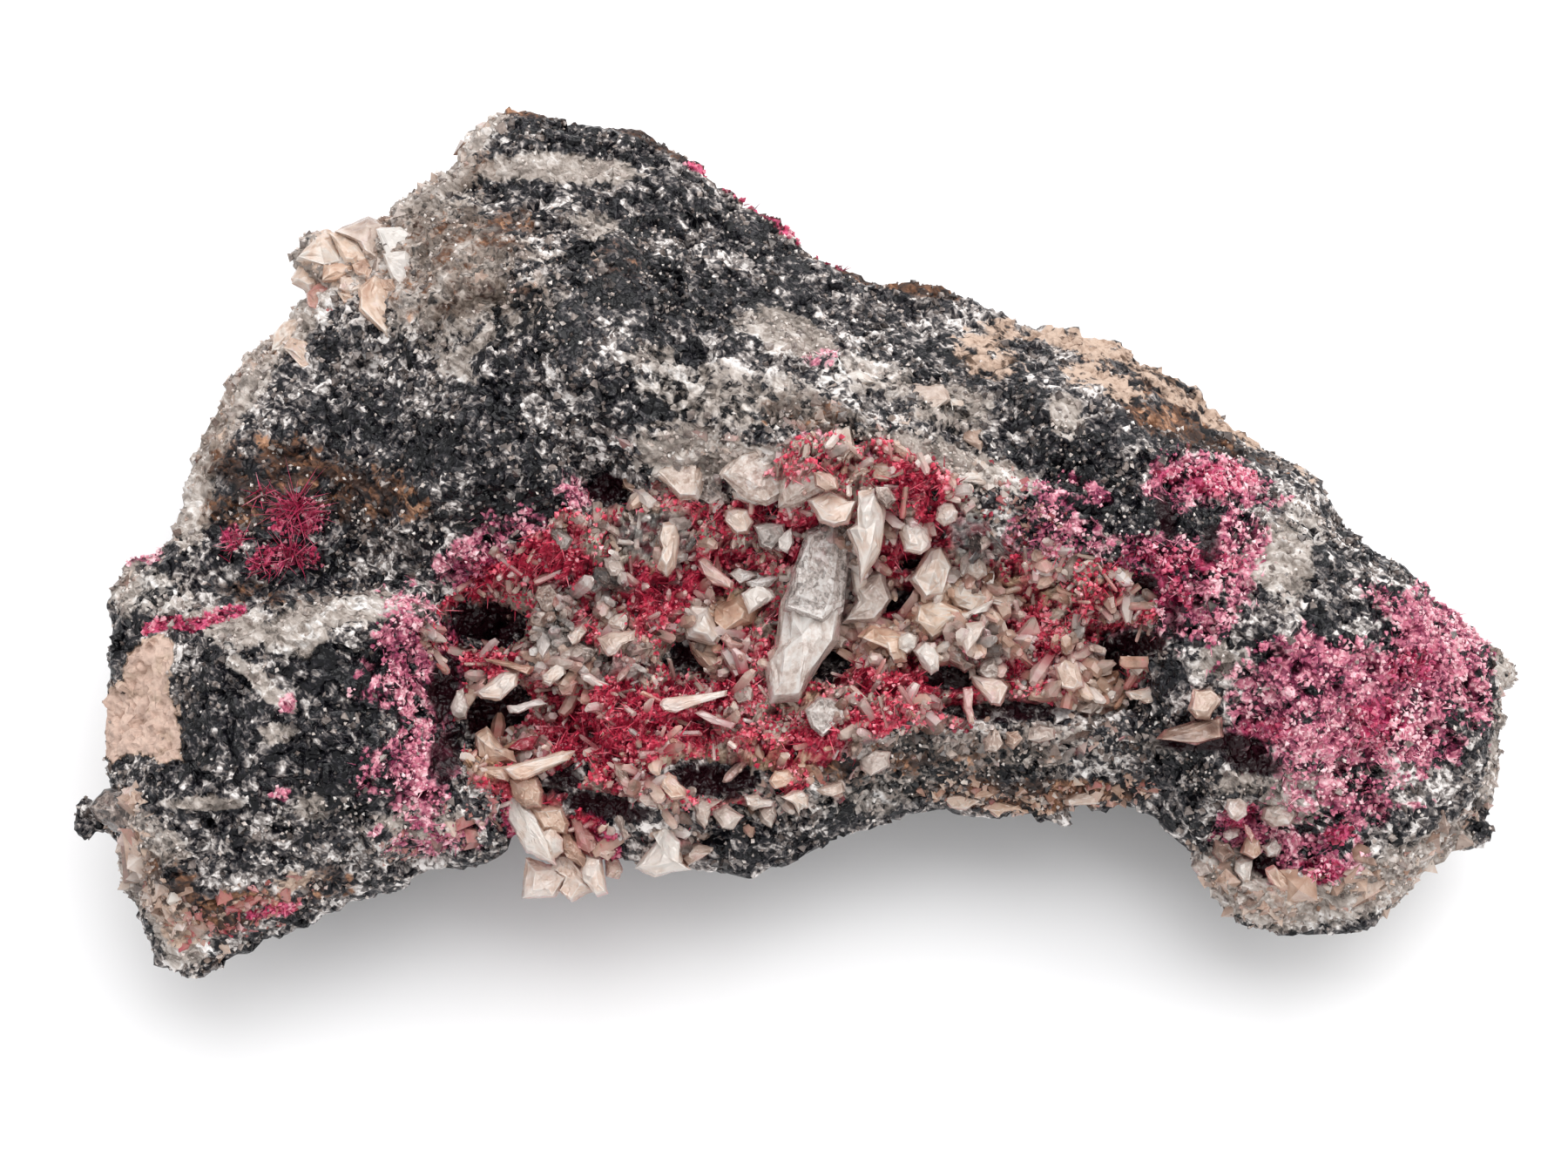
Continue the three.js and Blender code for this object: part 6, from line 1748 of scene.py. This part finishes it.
# %% Crystals along the rims
# Each is (line in plan, half width, how many, largest size, tone, warmth, dust).
RIM_LINES = [
    ([(-36.8, -17.5), (-36.2, -21), (-34.4, -23.6), (-32.6, -25.8)], 1.2, 200, 1.9, 0.62, 0.55, 0.1),
    ([(-33.4, -24.8), (-30, -24), (-27, -22.6)], 1.1, 170, 1.1, 0.6, 0.8, 0.6),
    ([(-22, -20.2), (-18.5, -19.2), (-16.4, -17.6)], 1, 130, 1.2, 0.68, 0.55, 0.45),
    ([(22.4, -21.2), (24.6, -23.6), (28.4, -23.4), (33, -22), (37, -19.4)],
     1.4, 260, 1.6, 0.6, 0.62, 0),
    ([(7.5, -16.9), (11, -17.6), (15, -17.4), (19, -16.8)], 0.7, 240, 1.1, 0.64, 0.9, 0.25),
    ([(39.6, -9), (39.8, -13), (38.2, -17.4)], 0.7, 80, 0.8, 0.6, 0.3, 0),
    ([(-18.4, 24.9), (-21.2, 22), (-24, 19.4), (-26.6, 17)], 1.3, 130, 1.1, 0.62, 0.4, 0),
    ([(-28.6, 12.6), (-31.2, 10), (-33.2, 6.6), (-34.6, 3), (-35, -1), (-38.2, -4.5)],
     1, 150, 0.9, 0.6, 0.4, 0),
    ([(-8, 3.2), (-4, 2.6), (1, 5), (6, 4), (12, -0.6)], 1.2, 150, 1, 0.68, 0.3, 0.1),
    ([(-24, 16.6), (-18, 15.4), (-14, 13.4)], 2.6, 150, 0.9, 0.5, 0.45, 0),
    ([(-4, -16), (4, -14.4), (12, -13.8), (18, -14.2)], 1.2, 260, 1.1, 0.38, 0.3, 0.1),
    ([(11.6, 0.2), (13.4, -4), (14, -8)], 1.8, 300, 0.8, 0.5, 0.6, 0.6),
]
rock_plan = plan_of(rock_places)
rim_noise = 0.5 * rough_noise(rock_places, 1.4, 240)


def rim_crystals(line, half_width, count, largest, tone, warmth, dust, rng):
    """Chips crowding along a line and sunk by half. Small ones are more common: the size grows
    with the square of a random number."""
    near = bands(rock_plan, [(line, half_width, 1.0)], rim_noise)
    picked = chosen(on_face * np.clip(near, 0, 1) ** 2, count, rng)
    sizes = 0.15 + (0.8 * largest - 0.15) * rng.random(len(picked)) ** 2
    middles = rock_places[picked] - 0.55 * sizes[:, None] * normal_of[picked]
    chips = chip_arrays(middles, leaning(normal_of[picked], 85, rng), sizes, rng)
    looks = [tone, warmth, 0.15, dust] + rng.normal(0, 1, (len(picked), 4)) * [0.16, 0.14, 0.1, 0.15]
    return chips, np.clip(looks, [0.1, 0, 0, -1], 1)


rims = [rim_crystals(*row, rng) for row in RIM_LINES]
rim_looks = np.concatenate([looks for _, looks in rims])
rim_places, rim_triangles, rim_numbers = joined([parts for parts, _ in rims])
rim_places[:, 2] = np.maximum(rim_places[:, 2], 0.2)  # no chip reaches the sheet
rim_values = quartz_values(rim_looks[rim_numbers])
make_piece("rim_crystals", (rim_places, rim_triangles), rim_values, MILKY_QUARTZ)

# %% [markdown]
# ## Sugar grains
# Under a lens the rock is sugar: clear and white quartz grains stand out of the dark ground and
# catch the light. A bump could fake them, but real chips throw real shadows and glints.

# %% Sugar grains
covering = rock_values["clay"] + rock_values["rose"] + rock_values["crimson"]
bare = on_face * (1 - np.clip(covering, 0, 0.95))
flecks = np.clip(0.5 + 1.1 * smooth_noise(rock_places, 2.2, 200), 0.05, 1.5)
picked = chosen(bare * flecks * (0.5 + 0.3 * np.clip(rock_values["pale"], 0, 1)), 9000, rng)
large = rng.random(len(picked)) < 0.28
sunk = np.where(large, 0.08, -0.02)[:, None] * normal_of[picked]
across = rng.uniform(0.08, 0.19, len(picked)) * np.where(large, 2.1, 1)
chips = chip_arrays(rock_places[picked] - sunk, leaning(normal_of[picked], 80, rng), across, rng)
tone = 0.1 + 0.4 * rock_values["pale"][picked] + 0.55 * rng.random(len(picked)) ** 2
tone = np.clip(tone, 0, 1)
# Some small grains are near white: white quartz grains that also stand in for glints, as painted
# highlights.
bright = rng.random(len(picked)) < 0.22
tone = np.where(large, 0.75 * tone, np.where(bright, 0.85, tone))
looks = np.column_stack([tone, np.tile([0.15, 0.3, -1.0], (len(picked), 1))])
SUGAR_QUARTZ = quartz("sugar quartz", 0.3, 0.14)
make_piece("sugar_grains", chips, quartz_values(looks[chips[2]]), SUGAR_QUARTZ)

# %% Close
size = {"cad": cad_box, "visual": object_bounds()}
size = {key: [list(map(float, corner)) for corner in box] for key, box in size.items()}
print("visual box in mm:", np.round(np.array(size["visual"]) / MM, 1).tolist())
